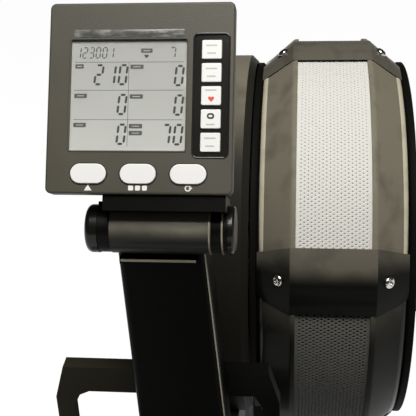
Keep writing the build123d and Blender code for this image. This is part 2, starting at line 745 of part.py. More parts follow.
# Console: bezel, rear case, screen, key panel and buttons in the tilted plane
lcd_x = -10.3
lcd_y = 2.3
lcd_width = 97.9
lcd_height = 93.6
panel_x = 59.5
panel_y = 1.8
panel_width = 29.1
panel_height = 103.1
panel_lip = 0.8
key_width = 16.5
key_height = 15.9
key_pitch = 19.4
key_top = 40.2
key_gap = 0.3
button_pitch = 41.8
button_y = -64.0
button_width = 30.2
button_height = 16.6
button_lip = 1.5
with BuildPart() as console_front:
    with BuildSketch(face.offset(-bezel_depth)):
        RectangleRounded(console_width, console_height, 5)
    extrude(amount=bezel_depth)
    fillet(console_front.faces().sort_by(Axis(face.origin, face.z_dir))[-1].edges(), 1.8)
    with BuildSketch(face.offset(-bezel_depth)):
        RectangleRounded(console_width - 2 * skin, console_height - 2 * skin, 3)
    extrude(amount=bezel_depth - skin, mode=Mode.SUBTRACT)
    with BuildSketch(face.offset(-skin)):
        with Locations((lcd_x, lcd_y)):
            RectangleRounded(lcd_width, lcd_height, 1.5)
        with Locations((panel_x, panel_y)):
            RectangleRounded(panel_width, panel_height, 4)
        with Locations(*[(k * button_pitch, button_y) for k in (-1, 0, 1)]):
            SlotOverall(button_width + 2 * key_gap, button_height + 2 * key_gap)
    extrude(amount=skin, mode=Mode.SUBTRACT)
console_front.part.label = "console_front"
export_step(console_front.part, "parts/console_front.step")

case_taper = 8.0
with BuildPart() as console_back:
    with BuildSketch(face.offset(-bezel_depth)):
        RectangleRounded(console_width - 3, console_height - 3, 5)
    extrude(amount=-case_depth, taper=case_taper)
    with BuildSketch(face.offset(-bezel_depth)):
        RectangleRounded(console_width - 3 - 2 * skin, console_height - 3 - 2 * skin, 4)
    extrude(amount=-case_depth + skin, taper=case_taper, mode=Mode.SUBTRACT)
console_back.part.label = "console_back"
export_step(console_back.part, "parts/console_back.step")

with BuildPart() as lcd_panel:
    with BuildSketch(face.offset(-skin - 4)):
        with Locations((lcd_x, lcd_y)):
            Rectangle(lcd_width + 4, lcd_height + 4)
    extrude(amount=4)
lcd_panel.part.label = "lcd_panel"
export_step(lcd_panel.part, "parts/lcd_panel.step")

with BuildPart() as lcd_window:
    with BuildSketch(face.offset(-skin)):
        with Locations((lcd_x, lcd_y)):
            RectangleRounded(lcd_width, lcd_height, 1.5)
    extrude(amount=1.0)
lcd_window.part.label = "lcd_window"
export_step(lcd_window.part, "parts/lcd_window.step")

key_places = [(panel_x, key_top - k * key_pitch) for k in range(5)]
panel_front = -1.0
panel_back = -skin - 1.5
with BuildPart() as key_panel:
    with BuildSketch(face.offset(panel_back)):
        with Locations((panel_x, panel_y)):
            RectangleRounded(panel_width + 2 * panel_lip, panel_height + 8, 4)
    extrude(amount=1.5)
    with BuildSketch(face.offset(-skin)):
        with Locations((panel_x, panel_y)):
            RectangleRounded(panel_width, panel_height, 4)
    extrude(amount=skin + panel_front)
    with BuildSketch(face.offset(panel_back)):
        with Locations(*key_places):
            RectangleRounded(key_width + 2 * key_gap, key_height + 2 * key_gap, 1.5)
    extrude(amount=2 * skin, mode=Mode.SUBTRACT)
key_panel.part.label = "key_panel"
export_step(key_panel.part, "parts/key_panel.step")

for number, place in enumerate(key_places, start=1):
    with BuildPart() as key:
        with BuildSketch(face.offset(panel_back - 1.5)):
            with Locations(place):
                RectangleRounded(key_width, key_height, 1.2)
        extrude(amount=1.5 - panel_back + 0.5)
        fillet(key.faces().sort_by(Axis(face.origin, face.z_dir))[-1].edges(), 0.6)
        with BuildSketch(face.offset(panel_back - 1.5)):
            with Locations(place):
                RectangleRounded(key_width + 1.8, key_height + 1.8, 1.2)
        extrude(amount=1.4)
    key.part.label = f"key_{number}"
    export_step(key.part, f"parts/key_{number}.step")

button_places = ((-1, "button_left"), (0, "button_middle"), (1, "button_right"))
for step, name in button_places:
    with BuildPart() as button:
        with BuildSketch(face.offset(-skin - 1.6)):
            with Locations((step * button_pitch, button_y)):
                SlotOverall(button_width, button_height)
        extrude(amount=skin + 1.6 + 1.8)
        fillet(button.faces().sort_by(Axis(face.origin, face.z_dir))[-1].edges(), 0.8)
        with BuildSketch(face.offset(-skin - 1.6)):
            with Locations((step * button_pitch, button_y)):
                SlotOverall(button_width + 2 * button_lip, button_height + 2 * button_lip)
        extrude(amount=1.5)
    button.part.label = name
    export_step(button.part, f"parts/{name}.step")

# Yoke: plate under the console, plate behind it and two ears round the pivot pin
yoke_left = ear_left + 8.0 - console_y
yoke_right = ear_right - console_y
yoke_mid = (yoke_left + yoke_right) / 2
yoke_top = -console_height / 2
yoke_bottom = pivot_up + pivot_radius - 8.0
yoke_back = -bezel_depth - case_depth - 4.0
ear_places = ((ear_left, left_ear), (ear_right - right_ear, right_ear))
with BuildPart() as console_yoke:
    with BuildSketch(face.offset(yoke_back)):
        with Locations((yoke_mid, (yoke_top + yoke_bottom) / 2)):
            Rectangle(yoke_right - yoke_left, yoke_top - yoke_bottom)
    extrude(amount=-4.0 - yoke_back)
    with BuildSketch(face.offset(yoke_back)):
        with Locations((0, (yoke_bottom - 20) / 2)):
            Rectangle(70, -20 - yoke_bottom)
    extrude(amount=4)
    for ear_start, ear_width in ear_places:
        with Locations((pivot_x, ear_start + ear_width / 2, pivot_z)):
            Cylinder(ear_radius, ear_width, rotation=(90, 0, 0))
        with BuildSketch(face.offset(pivot_out - 14)):
            with Locations((ear_start + ear_width / 2 - console_y, (yoke_top + pivot_up) / 2 - 2)):
                Rectangle(ear_width, yoke_top - pivot_up - 4)
        extrude(amount=28)
    with Locations((pivot_x, (pivot_left + pivot_right) / 2, pivot_z)):
        Cylinder(
            pivot_radius + slide_gap,
            pivot_right - pivot_left + 2 * slide_gap,
            rotation=(90, 0, 0),
            mode=Mode.SUBTRACT,
        )
    for ear_start, ear_width in ear_places:
        with Locations((pivot_x, ear_start + ear_width / 2, pivot_z)):
            Cylinder(pin_radius + running_clearance, ear_width, rotation=(90, 0, 0), mode=Mode.SUBTRACT)
console_yoke.part.label = "console_yoke"
export_step(console_yoke.part, "parts/console_yoke.step")

# Rail, running strips and stops
with BuildPart() as rail:
    with BuildSketch(Plane.YZ.offset(rail_start)):
        with Locations((0, (web_bottom + rail_top - flange_height) / 2)):
            Rectangle(web_width, rail_top - flange_height - web_bottom)
        with Locations((0, rail_top - flange_height / 2)):
            Rectangle(flange_width, flange_height)
        with Locations((0, (spigot_top + spigot_bottom) / 2)):
            Rectangle(spigot_width, spigot_top - spigot_bottom, mode=Mode.SUBTRACT)
    extrude(amount=rail_end - rail_start)
rail.part.label = "rail"
export_step(rail.part, "parts/rail.step")

with BuildPart() as rail_strips:
    for side in (-1, 1):
        with Locations(((rail_start + rail_end) / 2, side * strip_y, rail_top + strip_height / 2)):
            Box(rail_end - rail_start, strip_width, strip_height)
rail_strips.part.label = "rail_strips"
export_step(rail_strips.part, "parts/rail_strips.step")

roller_z = rail_top + strip_height + slide_gap + roller_radius
stop_length = 30.0
stop_height = 26.0
front_stop = seat_x - wheelbase / 2 - axle_radius - 8 - stop_length / 2
rear_stop = seat_x + seat_travel + wheelbase / 2 + axle_radius + 8 + stop_length / 2
with BuildPart() as rail_stops:
    for x in (front_stop, rear_stop):
        with Locations((x, 0, rail_top + stop_height / 2)):
            Box(stop_length, 30, stop_height)
    with Locations((rail_end + rail_cap / 2, 0, (web_bottom + rail_top) / 2)):
        Box(rail_cap, flange_width, rail_top - web_bottom)
    fillet(rail_stops.edges().filter_by(Axis.Z), 4)
rail_stops.part.label = "rail_stops"
export_step(rail_stops.part, "parts/rail_stops.step")

# Seat on its carriage
carriage_top = roller_z + roller_radius + 6.0
carriage_bottom = rail_top - flange_height - 14.0
cheek_outer = cheek_inner + cheek_thickness
lip_width = 12.0
with BuildPart() as seat_carriage:
    with Locations((seat_x, 0, carriage_top - 2)):
        Box(carriage_length, 2 * cheek_outer, 4)
    for side in (-1, 1):
        cheek_y = side * (cheek_inner + cheek_thickness / 2)
        with Locations((seat_x, cheek_y, (carriage_top + carriage_bottom) / 2)):
            Box(carriage_length, cheek_thickness, carriage_top - carriage_bottom)
        with Locations((seat_x, side * (cheek_inner - lip_width / 2), carriage_bottom + 2)):
            Box(carriage_length, lip_width, 4)
    for end in (-1, 1):
        with Locations((seat_x + end * wheelbase / 2, 0, roller_z)):
            Cylinder(
                axle_radius + running_clearance, 3 * cheek_outer, rotation=(90, 0, 0), mode=Mode.SUBTRACT
            )
seat_carriage.part.label = "seat_carriage"
export_step(seat_carriage.part, "parts/seat_carriage.step")

for end, name in ((-1, "front_rollers"), (1, "rear_rollers")):
    with BuildPart() as rollers:
        with Locations((seat_x + end * wheelbase / 2, 0, roller_z)):
            Cylinder(axle_radius, 2 * cheek_outer + 4, rotation=(90, 0, 0))
        for side in (-1, 1):
            with Locations((seat_x + end * wheelbase / 2, side * strip_y, roller_z)):
                Cylinder(roller_radius, roller_width, rotation=(90, 0, 0))
    rollers.part.label = name
    export_step(rollers.part, f"parts/{name}.step")

pan_thickness = 12.0
cushion_thickness = 34.0
with BuildPart() as seat_pan:
    with BuildSketch(Plane.XY.offset(carriage_top)):
        with Locations((seat_x, 0)):
            RectangleRounded(seat_length - 20, seat_width - 24, 50)
    extrude(amount=pan_thickness)
seat_pan.part.label = "seat_pan"
export_step(seat_pan.part, "parts/seat_pan.step")

with BuildPart() as seat_cushion:
    with BuildSketch(Plane.XY.offset(carriage_top + pan_thickness)):
        with Locations((seat_x, 0)):
            RectangleRounded(seat_length, seat_width, 58)
    extrude(amount=cushion_thickness)
    fillet(seat_cushion.faces().sort_by(Axis.Z)[-1].edges(), 14)
seat_cushion.part.label = "seat_cushion"
export_step(seat_cushion.part, "parts/seat_cushion.step")

# Footplates on a cross bar through the beam, with sliding heel cups and toe straps
bar_centre = foot_plane.from_local_coords((0, 0, -plate_thickness - bar_size / 2))
with BuildPart() as foot_crossbar:
    with BuildSketch(foot_plane.offset(-plate_thickness - bar_size)):
        Rectangle(2 * plate_y + plate_width - bar_margin, bar_size)
    extrude(amount=bar_size)
    with BuildSketch(Plane(origin=bar_centre, x_dir=(plate_cos, 0, plate_sin), z_dir=(0, 1, 0))):
        Rectangle(bar_size - 2 * wall, bar_size - 2 * wall)
    extrude(amount=2 * plate_y, both=True, mode=Mode.SUBTRACT)
foot_crossbar.part.label = "foot_crossbar"
export_step(foot_crossbar.part, "parts/foot_crossbar.step")

heel_wall = 38.0
heel_base = 90.0
heel_travel = 60.0
heel_width = plate_width - 22.0
heel_start = -plate_heel + 6.0
strap_place = 62.0
strap_band = 38.0
strap_rise = 78.0
strap_half = plate_width / 2 - 6.0
strap_skin = 2.2
for side, word in ((-1, "left"), (1, "right")):
    with BuildPart() as footplate:
        with BuildSketch(foot_plane.offset(-plate_thickness)):
            with Locations((side * plate_y, (plate_toe - plate_heel) / 2)):
                RectangleRounded(plate_width, plate_toe + plate_heel, 22)
        extrude(amount=plate_thickness)
    footplate.part.label = f"footplate_{word}"
    export_step(footplate.part, f"parts/footplate_{word}.step")

    with BuildPart() as heel_cup:
        with BuildSketch(foot_plane.offset(running_clearance)):
            with Locations((side * plate_y, heel_start + heel_base / 2)):
                RectangleRounded(heel_width, heel_base, 10)
        extrude(amount=4)
        with BuildSketch(foot_plane.offset(running_clearance)):
            with Locations((side * plate_y, heel_start + heel_base / 2)):
                RectangleRounded(heel_width, heel_base, 10)
            with Locations((side * plate_y, heel_start + heel_base / 2 + 5)):
                RectangleRounded(heel_width - 10, heel_base, 10, mode=Mode.SUBTRACT)
        extrude(amount=heel_wall)
    heel_cup.part.label = f"heel_cup_{word}"
    export_step(heel_cup.part, f"parts/heel_cup_{word}.step")

    strap_origin = foot_plane.from_local_coords((side * plate_y, strap_place, 0))
    strap_plane = Plane(origin=strap_origin, x_dir=(0, 1, 0), z_dir=(plate_sin, 0, -plate_cos))
    with BuildPart() as foot_strap:
        with BuildSketch(strap_plane):
            Ellipse(strap_half, strap_rise)
            Ellipse(strap_half - strap_skin, strap_rise - strap_skin, mode=Mode.SUBTRACT)
            with Locations((0, -strap_rise)):
                Rectangle(3 * strap_half, 2 * strap_rise, mode=Mode.SUBTRACT)
        extrude(amount=strap_band / 2, both=True)
    foot_strap.part.label = f"foot_strap_{word}"
    export_step(foot_strap.part, f"parts/foot_strap_{word}.step")

with BuildPart() as strap_buckles:
    for side in (-1, 1):
        with BuildSketch(foot_plane.offset(strap_rise)):
            with Locations((side * plate_y, strap_place)):
                RectangleRounded(34, strap_band + 8, 4)
        extrude(amount=5)
strap_buckles.part.label = "strap_buckles"
export_step(strap_buckles.part, "parts/strap_buckles.step")
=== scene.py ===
"""Looks of the rowing machine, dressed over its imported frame."""

import logging
import math
from dataclasses import dataclass
from enum import Enum
from typing import Dict, List, Mapping, Optional, Sequence, Tuple, Union

import bmesh
import bpy
from mathutils import Matrix, Vector
from mathutils.bvhtree import BVHTree


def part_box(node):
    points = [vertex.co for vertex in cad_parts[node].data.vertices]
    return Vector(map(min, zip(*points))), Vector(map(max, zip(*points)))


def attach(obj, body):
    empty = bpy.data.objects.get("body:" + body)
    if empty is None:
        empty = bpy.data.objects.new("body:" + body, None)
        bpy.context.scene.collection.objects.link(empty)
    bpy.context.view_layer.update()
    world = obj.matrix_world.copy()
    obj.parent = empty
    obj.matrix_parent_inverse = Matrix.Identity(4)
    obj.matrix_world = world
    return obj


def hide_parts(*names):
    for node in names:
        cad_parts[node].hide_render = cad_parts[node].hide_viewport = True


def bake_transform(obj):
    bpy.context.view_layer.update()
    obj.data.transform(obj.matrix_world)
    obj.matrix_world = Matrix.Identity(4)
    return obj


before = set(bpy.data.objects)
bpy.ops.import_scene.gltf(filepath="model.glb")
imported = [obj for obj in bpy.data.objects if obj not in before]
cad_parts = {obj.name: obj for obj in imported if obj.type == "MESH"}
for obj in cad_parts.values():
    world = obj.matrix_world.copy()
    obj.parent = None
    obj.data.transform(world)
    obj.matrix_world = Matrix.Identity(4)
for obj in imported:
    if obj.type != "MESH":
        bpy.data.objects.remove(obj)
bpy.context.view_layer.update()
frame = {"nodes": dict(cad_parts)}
LOG = logging.getLogger("rowing_machine")
MM = 0.001
BUMP_DEPTH = 0.4 * MM
Flat = Tuple[float, float]
Profile = Tuple[Flat, ...]
Point = Tuple[float, float, float]
Colour = Tuple[float, float, float]
Verts = List[bmesh.types.BMVert]
Edges = List[bmesh.types.BMEdge]


class Shade:
    """A shader output that takes part in Python arithmetic."""

    def __init__(self, sheet: "ShaderSheet", socket: bpy.types.NodeSocket) -> None:
        """Wraps one output socket of a sheet."""
        self.sheet = sheet
        self.socket = socket

    def _math(self, operation: str, first: "Value", second: "Value") -> "Shade":
        """Adds one Math node for an operator."""
        return self.sheet.node("ShaderNodeMath", {"operation": operation}, {0: first, 1: second})

    def __add__(self, other: "Value") -> "Shade":
        """Sum of two values."""
        return self._math("ADD", self, other)

    __radd__ = __add__

    def __sub__(self, other: "Value") -> "Shade":
        """Difference of two values."""
        return self._math("SUBTRACT", self, other)

    def __rsub__(self, other: "Value") -> "Shade":
        """Reflected difference."""
        return self._math("SUBTRACT", other, self)

    def __mul__(self, other: "Value") -> "Shade":
        """Product of two values."""
        return self._math("MULTIPLY", self, other)

    __rmul__ = __mul__


Key = Union[int, str]
Value = Union[float, Shade]
Anything = Union[float, Sequence[float], Shade]


class ShaderSheet:
    """The node tree of one finish."""

    def __init__(self, name: str) -> None:
        """Starts a material with a surface shader and its output.

        Args:
            name: the material's name.
        """
        self.material = bpy.data.materials.new(name)
        self.material.use_nodes = True
        self.tree = self.material.node_tree
        self.tree.nodes.clear()
        output = self.tree.nodes.new("ShaderNodeOutputMaterial")
        self.surface = self.tree.nodes.new("ShaderNodeBsdfPrincipled")
        self.tree.links.new(self.surface.outputs[0], output.inputs["Surface"])

    def put(self, socket: bpy.types.NodeSocket, value: Anything) -> None:
        """Links a shade to a socket, or writes a plain value there.

        Args:
            socket: the input that takes it.
            value: a shade or a plain value.
        """
        if isinstance(value, Shade):
            self.tree.links.new(value.socket, socket)
        else:
            socket.default_value = value

    def node(
        self, kind: str, settings: Mapping[str, object], inputs: Mapping[Key, Anything], output: Key = 0
    ) -> Shade:
        """Makes any node.

        Args:
            kind: the node's type.
            settings: attributes, set first.
            inputs: values or shades for its sockets.
            output: the output socket to hand back.

        Returns:
            The chosen output as a shade.
        """
        made = self.tree.nodes.new(kind)
        for key, value in settings.items():
            setattr(made, key, value)
        for key, value in inputs.items():
            self.put(made.inputs[key], value)
        return Shade(self, made.outputs[output])

    def place(self) -> Shade:
        """The object's own coordinates."""
        return self.node("ShaderNodeTexCoord", {}, {}, "Object")

    def noise(self, scale: float, detail: float = 2.0, place: Optional[Shade] = None) -> Shade:
        """Noise over the surface.

        Args:
            scale: cells a metre.
            detail: octaves.
            place: coordinates, or the object's own.

        Returns:
            A value around one half.
        """
        where = place or self.place()
        return self.node("ShaderNodeTexNoise", {}, {"Vector": where, "Scale": scale, "Detail": detail})

    def stretched(self, factors: Point) -> Shade:
        """Object coordinates scaled along each axis."""
        return self.node("ShaderNodeMapping", {}, {"Vector": self.place(), "Scale": factors})

    def blend(self, factor: Value, low: Anything, high: Anything) -> Shade:
        """Mixes two colours."""
        settings = {"data_type": "RGBA", "clamp_factor": True}
        return self.node("ShaderNodeMix", settings, {0: factor, 6: low, 7: high}, 2)

    def rise(self, value: Shade, start: float, full: float) -> Shade:
        """A smooth rise from nought at start to one at full."""
        span = {"Value": value, "From Min": start, "From Max": full}
        return self.node("ShaderNodeMapRange", {"interpolation_type": "SMOOTHSTEP"}, span)

    def bump(self, height: Shade, strength: float) -> Shade:
        """Turns a height into a normal."""
        inputs = {"Height": height, "Strength": strength, "Distance": BUMP_DEPTH}
        return self.node("ShaderNodeBump", {}, inputs)


class Texture(Enum):
    """Surface patterns that a finish can carry."""

    GRAIN = "fine moulded grain"
    PAINT = "sprayed paint"
    BRUSHED = "drawn metal"
    WEAVE = "woven webbing"
    PEBBLE = "pebbled vinyl"
    FOAM = "closed foam"
    PRINT = "printed ink"


class Gradient(Enum):
    """Which way the film's amount rises, as a shader output and its axis."""

    TOP = ("Normal", "Z")
    SIDE = ("Object", "Y")


@dataclass(frozen=True)
class DustAndPaintedLight:
    """A lighter film over a finish: on upward faces, dusty patches together with painted top light; along the
    object's Y, an even film that leaves one side dark as painted shade.
    """

    colour: Colour
    start: float
    full: float
    lie: Gradient = Gradient.TOP
    patch_scale: float = 26.0
    patch_octaves: float = 6.0
    patch_gain: float = 1.6
    patch_base: float = 0.2

    def over(self, sheet: ShaderSheet, colour: Shade) -> Shade:
        """Lays the dusty film and painted light over a colour.

        Args:
            sheet: the finish's nodes.
            colour: the clean surface.

        Returns:
            The colour with the dusty film and painted light.
        """
        output, axis = self.lie.value
        where = sheet.node("ShaderNodeTexCoord", {}, {}, output)
        amount = sheet.rise(sheet.node("ShaderNodeSeparateXYZ", {}, {0: where}, axis), self.start, self.full)
        # Upward faces: dusty patches together with painted top light, standing in for sheen and highlights.
        if self.lie is Gradient.TOP:
            patches = sheet.noise(self.patch_scale, self.patch_octaves)
            amount = amount * (patches * self.patch_gain + self.patch_base)
        return sheet.blend(amount, colour, (*self.colour, 1.0))


@dataclass(frozen=True)
class Finish:
    """One surface finish of the machine."""

    name: str
    colour: Colour
    roughness: float
    texture: Texture = Texture.GRAIN
    metallic: float = 0.0
    spread: float = 0.12
    scale: float = 1500.0
    depth: float = 0.12
    coat: float = 0.0
    coat_blur: float = 0.12
    alpha: float = 1.0
    specular: float = 0.5
    # Dusty film with painted light or shade over the base colour, where a finish has it.
    dust_and_painted_light: Optional[DustAndPaintedLight] = None
    cloud_scale: float = 14.0
    cloud_share: float = 0.6
    gloss_swing: float = 0.16
    brush_stretch: Point = (0.02, 1.0, 1.0)

    def _tone(self, factor: float) -> Tuple[float, float, float, float]:
        """The base colour, lighter or darker."""
        return tuple(min(1.0, c * factor) for c in self.colour) + (1.0,)

    def _height(self, sheet: ShaderSheet) -> Shade:
        """The pattern's height for its bump.

        Args:
            sheet: the finish's nodes.

        Returns:
            A value around one half.
        """
        if self.texture is Texture.BRUSHED:
            return sheet.noise(self.scale, 3.0, sheet.stretched(self.brush_stretch))
        if self.texture in (Texture.PEBBLE, Texture.FOAM):
            feature = "SMOOTH_F1" if self.texture is Texture.PEBBLE else "F1"
            cells = {"Vector": sheet.place(), "Scale": self.scale}
            return sheet.node("ShaderNodeTexVoronoi", {"feature": feature}, cells, "Distance")
        if self.texture is Texture.WEAVE:
            threads = {"Vector": sheet.place(), "Scale": self.scale, "Distortion": 0.3}
            across = sheet.node("ShaderNodeTexWave", {"bands_direction": "Y"}, threads, 1)
            along = sheet.node("ShaderNodeTexWave", {"bands_direction": "DIAGONAL"}, threads, 1)
            return across * 0.6 + along * 0.5
        return sheet.noise(self.scale, 4.0)

    def build(self) -> bpy.types.Material:
        """Makes the finish.

        Returns:
            The finished material.
        """
        sheet = ShaderSheet(self.name)
        surface = sheet.surface.inputs
        cloud = sheet.noise(self.cloud_scale, 3.0)
        height = self._height(sheet)
        mixing = cloud * self.cloud_share + height * (1.0 - self.cloud_share)
        colour = sheet.blend(mixing, self._tone(1.0 - self.spread), self._tone(1.0 + self.spread))
        # Painted light or shade, with dusty patches, laid over the base colour.
        if self.dust_and_painted_light:
            colour = self.dust_and_painted_light.over(sheet, colour)
        sheet.put(surface["Base Color"], colour)
        sheet.put(surface["Roughness"], cloud * self.gloss_swing + (self.roughness - self.gloss_swing / 2))
        sheet.put(surface["Metallic"], self.metallic)
        sheet.put(surface["Specular IOR Level"], self.specular)
        sheet.put(surface["Coat Weight"], self.coat)
        sheet.put(surface["Coat Roughness"], self.coat_blur)
        sheet.put(surface["Alpha"], self.alpha)
        if self.texture is not Texture.PRINT:
            sheet.put(surface["Normal"], sheet.bump(height, self.depth))
        return sheet.material


@dataclass(frozen=True)
class ScuffedFilm:
    """A glossy film strip with scuffs along it."""

    name: str = "scuffed_film"
    clean: Colour = (0.085, 0.088, 0.08)
    scuffed: Colour = (0.32, 0.32, 0.295)
    scratch_scale: float = 420.0
    scratch_stretch: Point = (1.0, 0.25, 1.0)
    blotch_scale: float = 60.0
    gain: float = 3.2
    threshold: float = 0.6
    roughness: float = 0.16
    dulling: float = 0.3
    depth: float = 0.15

    def build(self) -> bpy.types.Material:
        """Makes the film's finish.

        Returns:
            The finished material.
        """
        sheet = ShaderSheet(self.name)
        scratches = sheet.noise(self.scratch_scale, 6.0, sheet.stretched(self.scratch_stretch))
        blotches = sheet.noise(self.blotch_scale, 4.0)
        scuff = scratches * blotches * self.gain - self.threshold
        surface = sheet.surface.inputs
        sheet.put(surface["Base Color"], sheet.blend(scuff, (*self.clean, 1.0), (*self.scuffed, 1.0)))
        sheet.put(surface["Roughness"], scuff * self.dulling + self.roughness)
        sheet.put(surface["Normal"], sheet.bump(scratches, self.depth))
        return sheet.material


AnyFinish = Union[Finish, ScuffedFilm]


class Finishes:
    """All finishes, made once and kept by name."""

    console = Finish("console_olive", (0.057, 0.0515, 0.0355), 0.5, scale=1200.0, depth=0.35, spread=0.45)
    # Upward faces get a tan film: dusty patches together with painted sheen from the top light.
    housing = Finish(
        "housing_black", (0.008, 0.0077, 0.006), 0.45, scale=1900.0, depth=0.16, coat=0.03, specular=0.05,
        dust_and_painted_light=DustAndPaintedLight((0.19, 0.175, 0.133), 0.0, 0.42),
    )
    # Painted highlight: a pale film on the upper part of each rim's rounded knee, where the top light glints.
    rim_highlight = Finish(
        "rim_edge_highlight", (0.012, 0.0115, 0.009), 0.35, scale=1900.0, depth=0.12, coat=0.2, specular=0.1,
        dust_and_painted_light=DustAndPaintedLight((0.5, 0.46, 0.36), 0.2, 0.42),
    )
    # Nearly upward faces get a tan film: dusty patches together with painted top light.
    cover = Finish(
        "cover_black", (0.02, 0.019, 0.0155), 0.45, scale=1900.0, depth=0.16, specular=0.05,
        dust_and_painted_light=DustAndPaintedLight((0.17, 0.155, 0.12), 0.72, 1.0),
    )
    # Upper faces get a tan film, dusty patches together with painted top light; lower faces stay black.
    clip = Finish(
        "clip_black", (0.005, 0.005, 0.004), 0.4, scale=1700.0, depth=0.2, coat=0.04, specular=0.05,
        dust_and_painted_light=DustAndPaintedLight((0.108, 0.1, 0.08), 0.27, 0.52),
    )
    # Painted shade: a lighter film covers only the arm on the low-Y side, so the arm on the high-Y side,
    # beside the drum, stays near black.
    rest = Finish(
        "rest_black", (0.003, 0.0028, 0.0022), 0.45, Texture.PAINT, scale=1300.0, depth=0.15, specular=0.1,
        dust_and_painted_light=DustAndPaintedLight((0.031, 0.027, 0.019), 0.02, -0.02, Gradient.SIDE),
    )
    # Near black, darker than the moulded plastic, as painted shade under the console.
    yoke = Finish("yoke_shaded_black", (0.003, 0.003, 0.0024), 0.4, scale=2200.0, depth=0.3, specular=0.1)
    # Near-black rubber for the sealing rings, which also stand for the shade in the groove between shell and
    # cover.
    seal_and_shade = Finish("seal_rubber_and_shade", (0.005, 0.005, 0.0042), 0.6, scale=900.0, depth=0.2, specular=0.04)
    plastic = Finish("moulded_black", (0.022, 0.022, 0.0215), 0.5, scale=1500.0, depth=0.25, specular=0.3)
    # Painted highlight on the tube's upper side: a tan film with dusty patches on upward faces.
    tube = Finish(
        "tube_black", (0.012, 0.0115, 0.009), 0.42, scale=2200.0, depth=0.35, coat=0.1, specular=0.2,
        dust_and_painted_light=DustAndPaintedLight((0.21, 0.198, 0.16), 0.0, 0.62),
    )
    cap = Finish("cap_black", (0.007, 0.0068, 0.0055), 0.3, scale=1200.0, depth=0.1, coat=0.25, specular=0.2)
    # Painted shade: a much darker copy of the frame paint, so that the mast and fork plates read as shaded.
    paint = Finish(
        "mast_shaded_black", (0.0015, 0.0015, 0.0012), 0.42, Texture.PAINT, scale=1300.0, depth=0.12, specular=0.06
    )
    # Upward faces get a grey film: dusty patches together with painted top light.
    frame = Finish(
        "frame_black", (0.009, 0.009, 0.0085), 0.38, Texture.PAINT, scale=1300.0, depth=0.12, specular=0.3,
        dust_and_painted_light=DustAndPaintedLight((0.032, 0.031, 0.028), 0.4, 1.0),
    )
    # Pale edge finish: wear on the tube rings, painted highlights on the mast's lip and corner.
    wear_and_highlight = Finish(
        "wear_and_highlight_edge", (0.4, 0.36, 0.27), 0.4, Texture.BRUSHED, 0.3, scale=700.0, depth=0.1, spread=0.4
    )
    rubber = Finish("foot_rubber", (0.02, 0.02, 0.02), 0.75, scale=700.0, depth=0.35)
    foam = Finish("grip_foam", (0.022, 0.022, 0.022), 0.85, Texture.FOAM, scale=900.0, depth=0.5)
    steel = Finish("bright_steel", (0.62, 0.61, 0.58), 0.28, Texture.BRUSHED, 1.0, scale=900.0, depth=0.05)
    plated = Finish("plated_steel", (0.6, 0.59, 0.56), 0.2, Texture.PAINT, 1.0, scale=900.0, depth=0.05)
    band = Finish(
        "band_steel", (0.66, 0.652, 0.62), 0.55, Texture.BRUSHED,
        scale=600.0, depth=0.05, spread=0.05, specular=0.2,
    )
    # Painted shade: a much darker copy of the band steel for the panels below the rear clip.
    shaded_band = Finish(
        "shaded_band", (0.12, 0.119, 0.109), 0.55, Texture.BRUSHED,
        scale=600.0, depth=0.05, spread=0.05, specular=0.12,
    )
    alloy = Finish("rail_alloy", (0.55, 0.56, 0.57), 0.34, Texture.BRUSHED, 1.0, scale=1200.0, depth=0.06)
    blade = Finish("fan_dark", (0.06, 0.06, 0.058), 0.5, Texture.BRUSHED, 0.3, scale=800.0, depth=0.05)
    nylon = Finish("roller_nylon", (0.66, 0.65, 0.6), 0.5, scale=900.0, depth=0.1)
    webbing = Finish("webbing", (0.045, 0.045, 0.047), 0.8, Texture.WEAVE, scale=330.0, depth=0.9)
    vinyl = Finish("seat_vinyl", (0.02, 0.02, 0.021), 0.55, Texture.PEBBLE, scale=420.0, depth=0.55)
    piping = Finish("welt_vinyl", (0.016, 0.016, 0.017), 0.4, Texture.PEBBLE, scale=900.0, depth=0.2)
    thread = Finish("seat_thread", (0.09, 0.09, 0.088), 0.8, Texture.WEAVE, scale=1500.0, depth=0.5)
    handle = Finish(
        "handle_black", (0.015, 0.015, 0.015), 0.3, Texture.PAINT, scale=900.0, depth=0.08, coat=0.4
    )
    screen = Finish("screen_grey", (0.77, 0.785, 0.755), 0.4, Texture.PRINT, scale=1400.0, spread=0.04)
    lens = Finish("screen_lens", (0.9, 0.92, 0.9), 0.08, Texture.PRINT, alpha=0.025, spread=0.02)
    ink = Finish("segment_ink", (0.015, 0.016, 0.0135), 0.5, Texture.PRINT, spread=0.05)
    faint = Finish("label_ink", (0.055, 0.057, 0.048), 0.5, Texture.PRINT, spread=0.05)
    gloss = Finish("panel_gloss", (0.014, 0.0135, 0.012), 0.14, scale=260.0, depth=0.06, coat=0.6)
    key = Finish("key_white", (0.83, 0.83, 0.825), 0.36, scale=1100.0, depth=0.08, spread=0.03)
    white = Finish("print_white", (0.84, 0.83, 0.8), 0.5, Texture.PRINT, spread=0.03)
    grey = Finish("print_grey", (0.5, 0.49, 0.46), 0.5, Texture.PRINT, spread=0.03)
    red = Finish("print_red", (0.75, 0.06, 0.02), 0.45, Texture.PRINT, spread=0.05)
    film = ScuffedFilm()

    def __init__(self) -> None:
        """Starts with no material made."""
        self.made: Dict[str, bpy.types.Material] = {}

    def get(self, finish: AnyFinish) -> bpy.types.Material:
        """Gives the finish's material, made on first use.

        Args:
            finish: the finish that is wanted.

        Returns:
            Its material.
        """
        if finish.name not in self.made:
            self.made[finish.name] = finish.build()
        return self.made[finish.name]


PAINTBOX = Finishes()


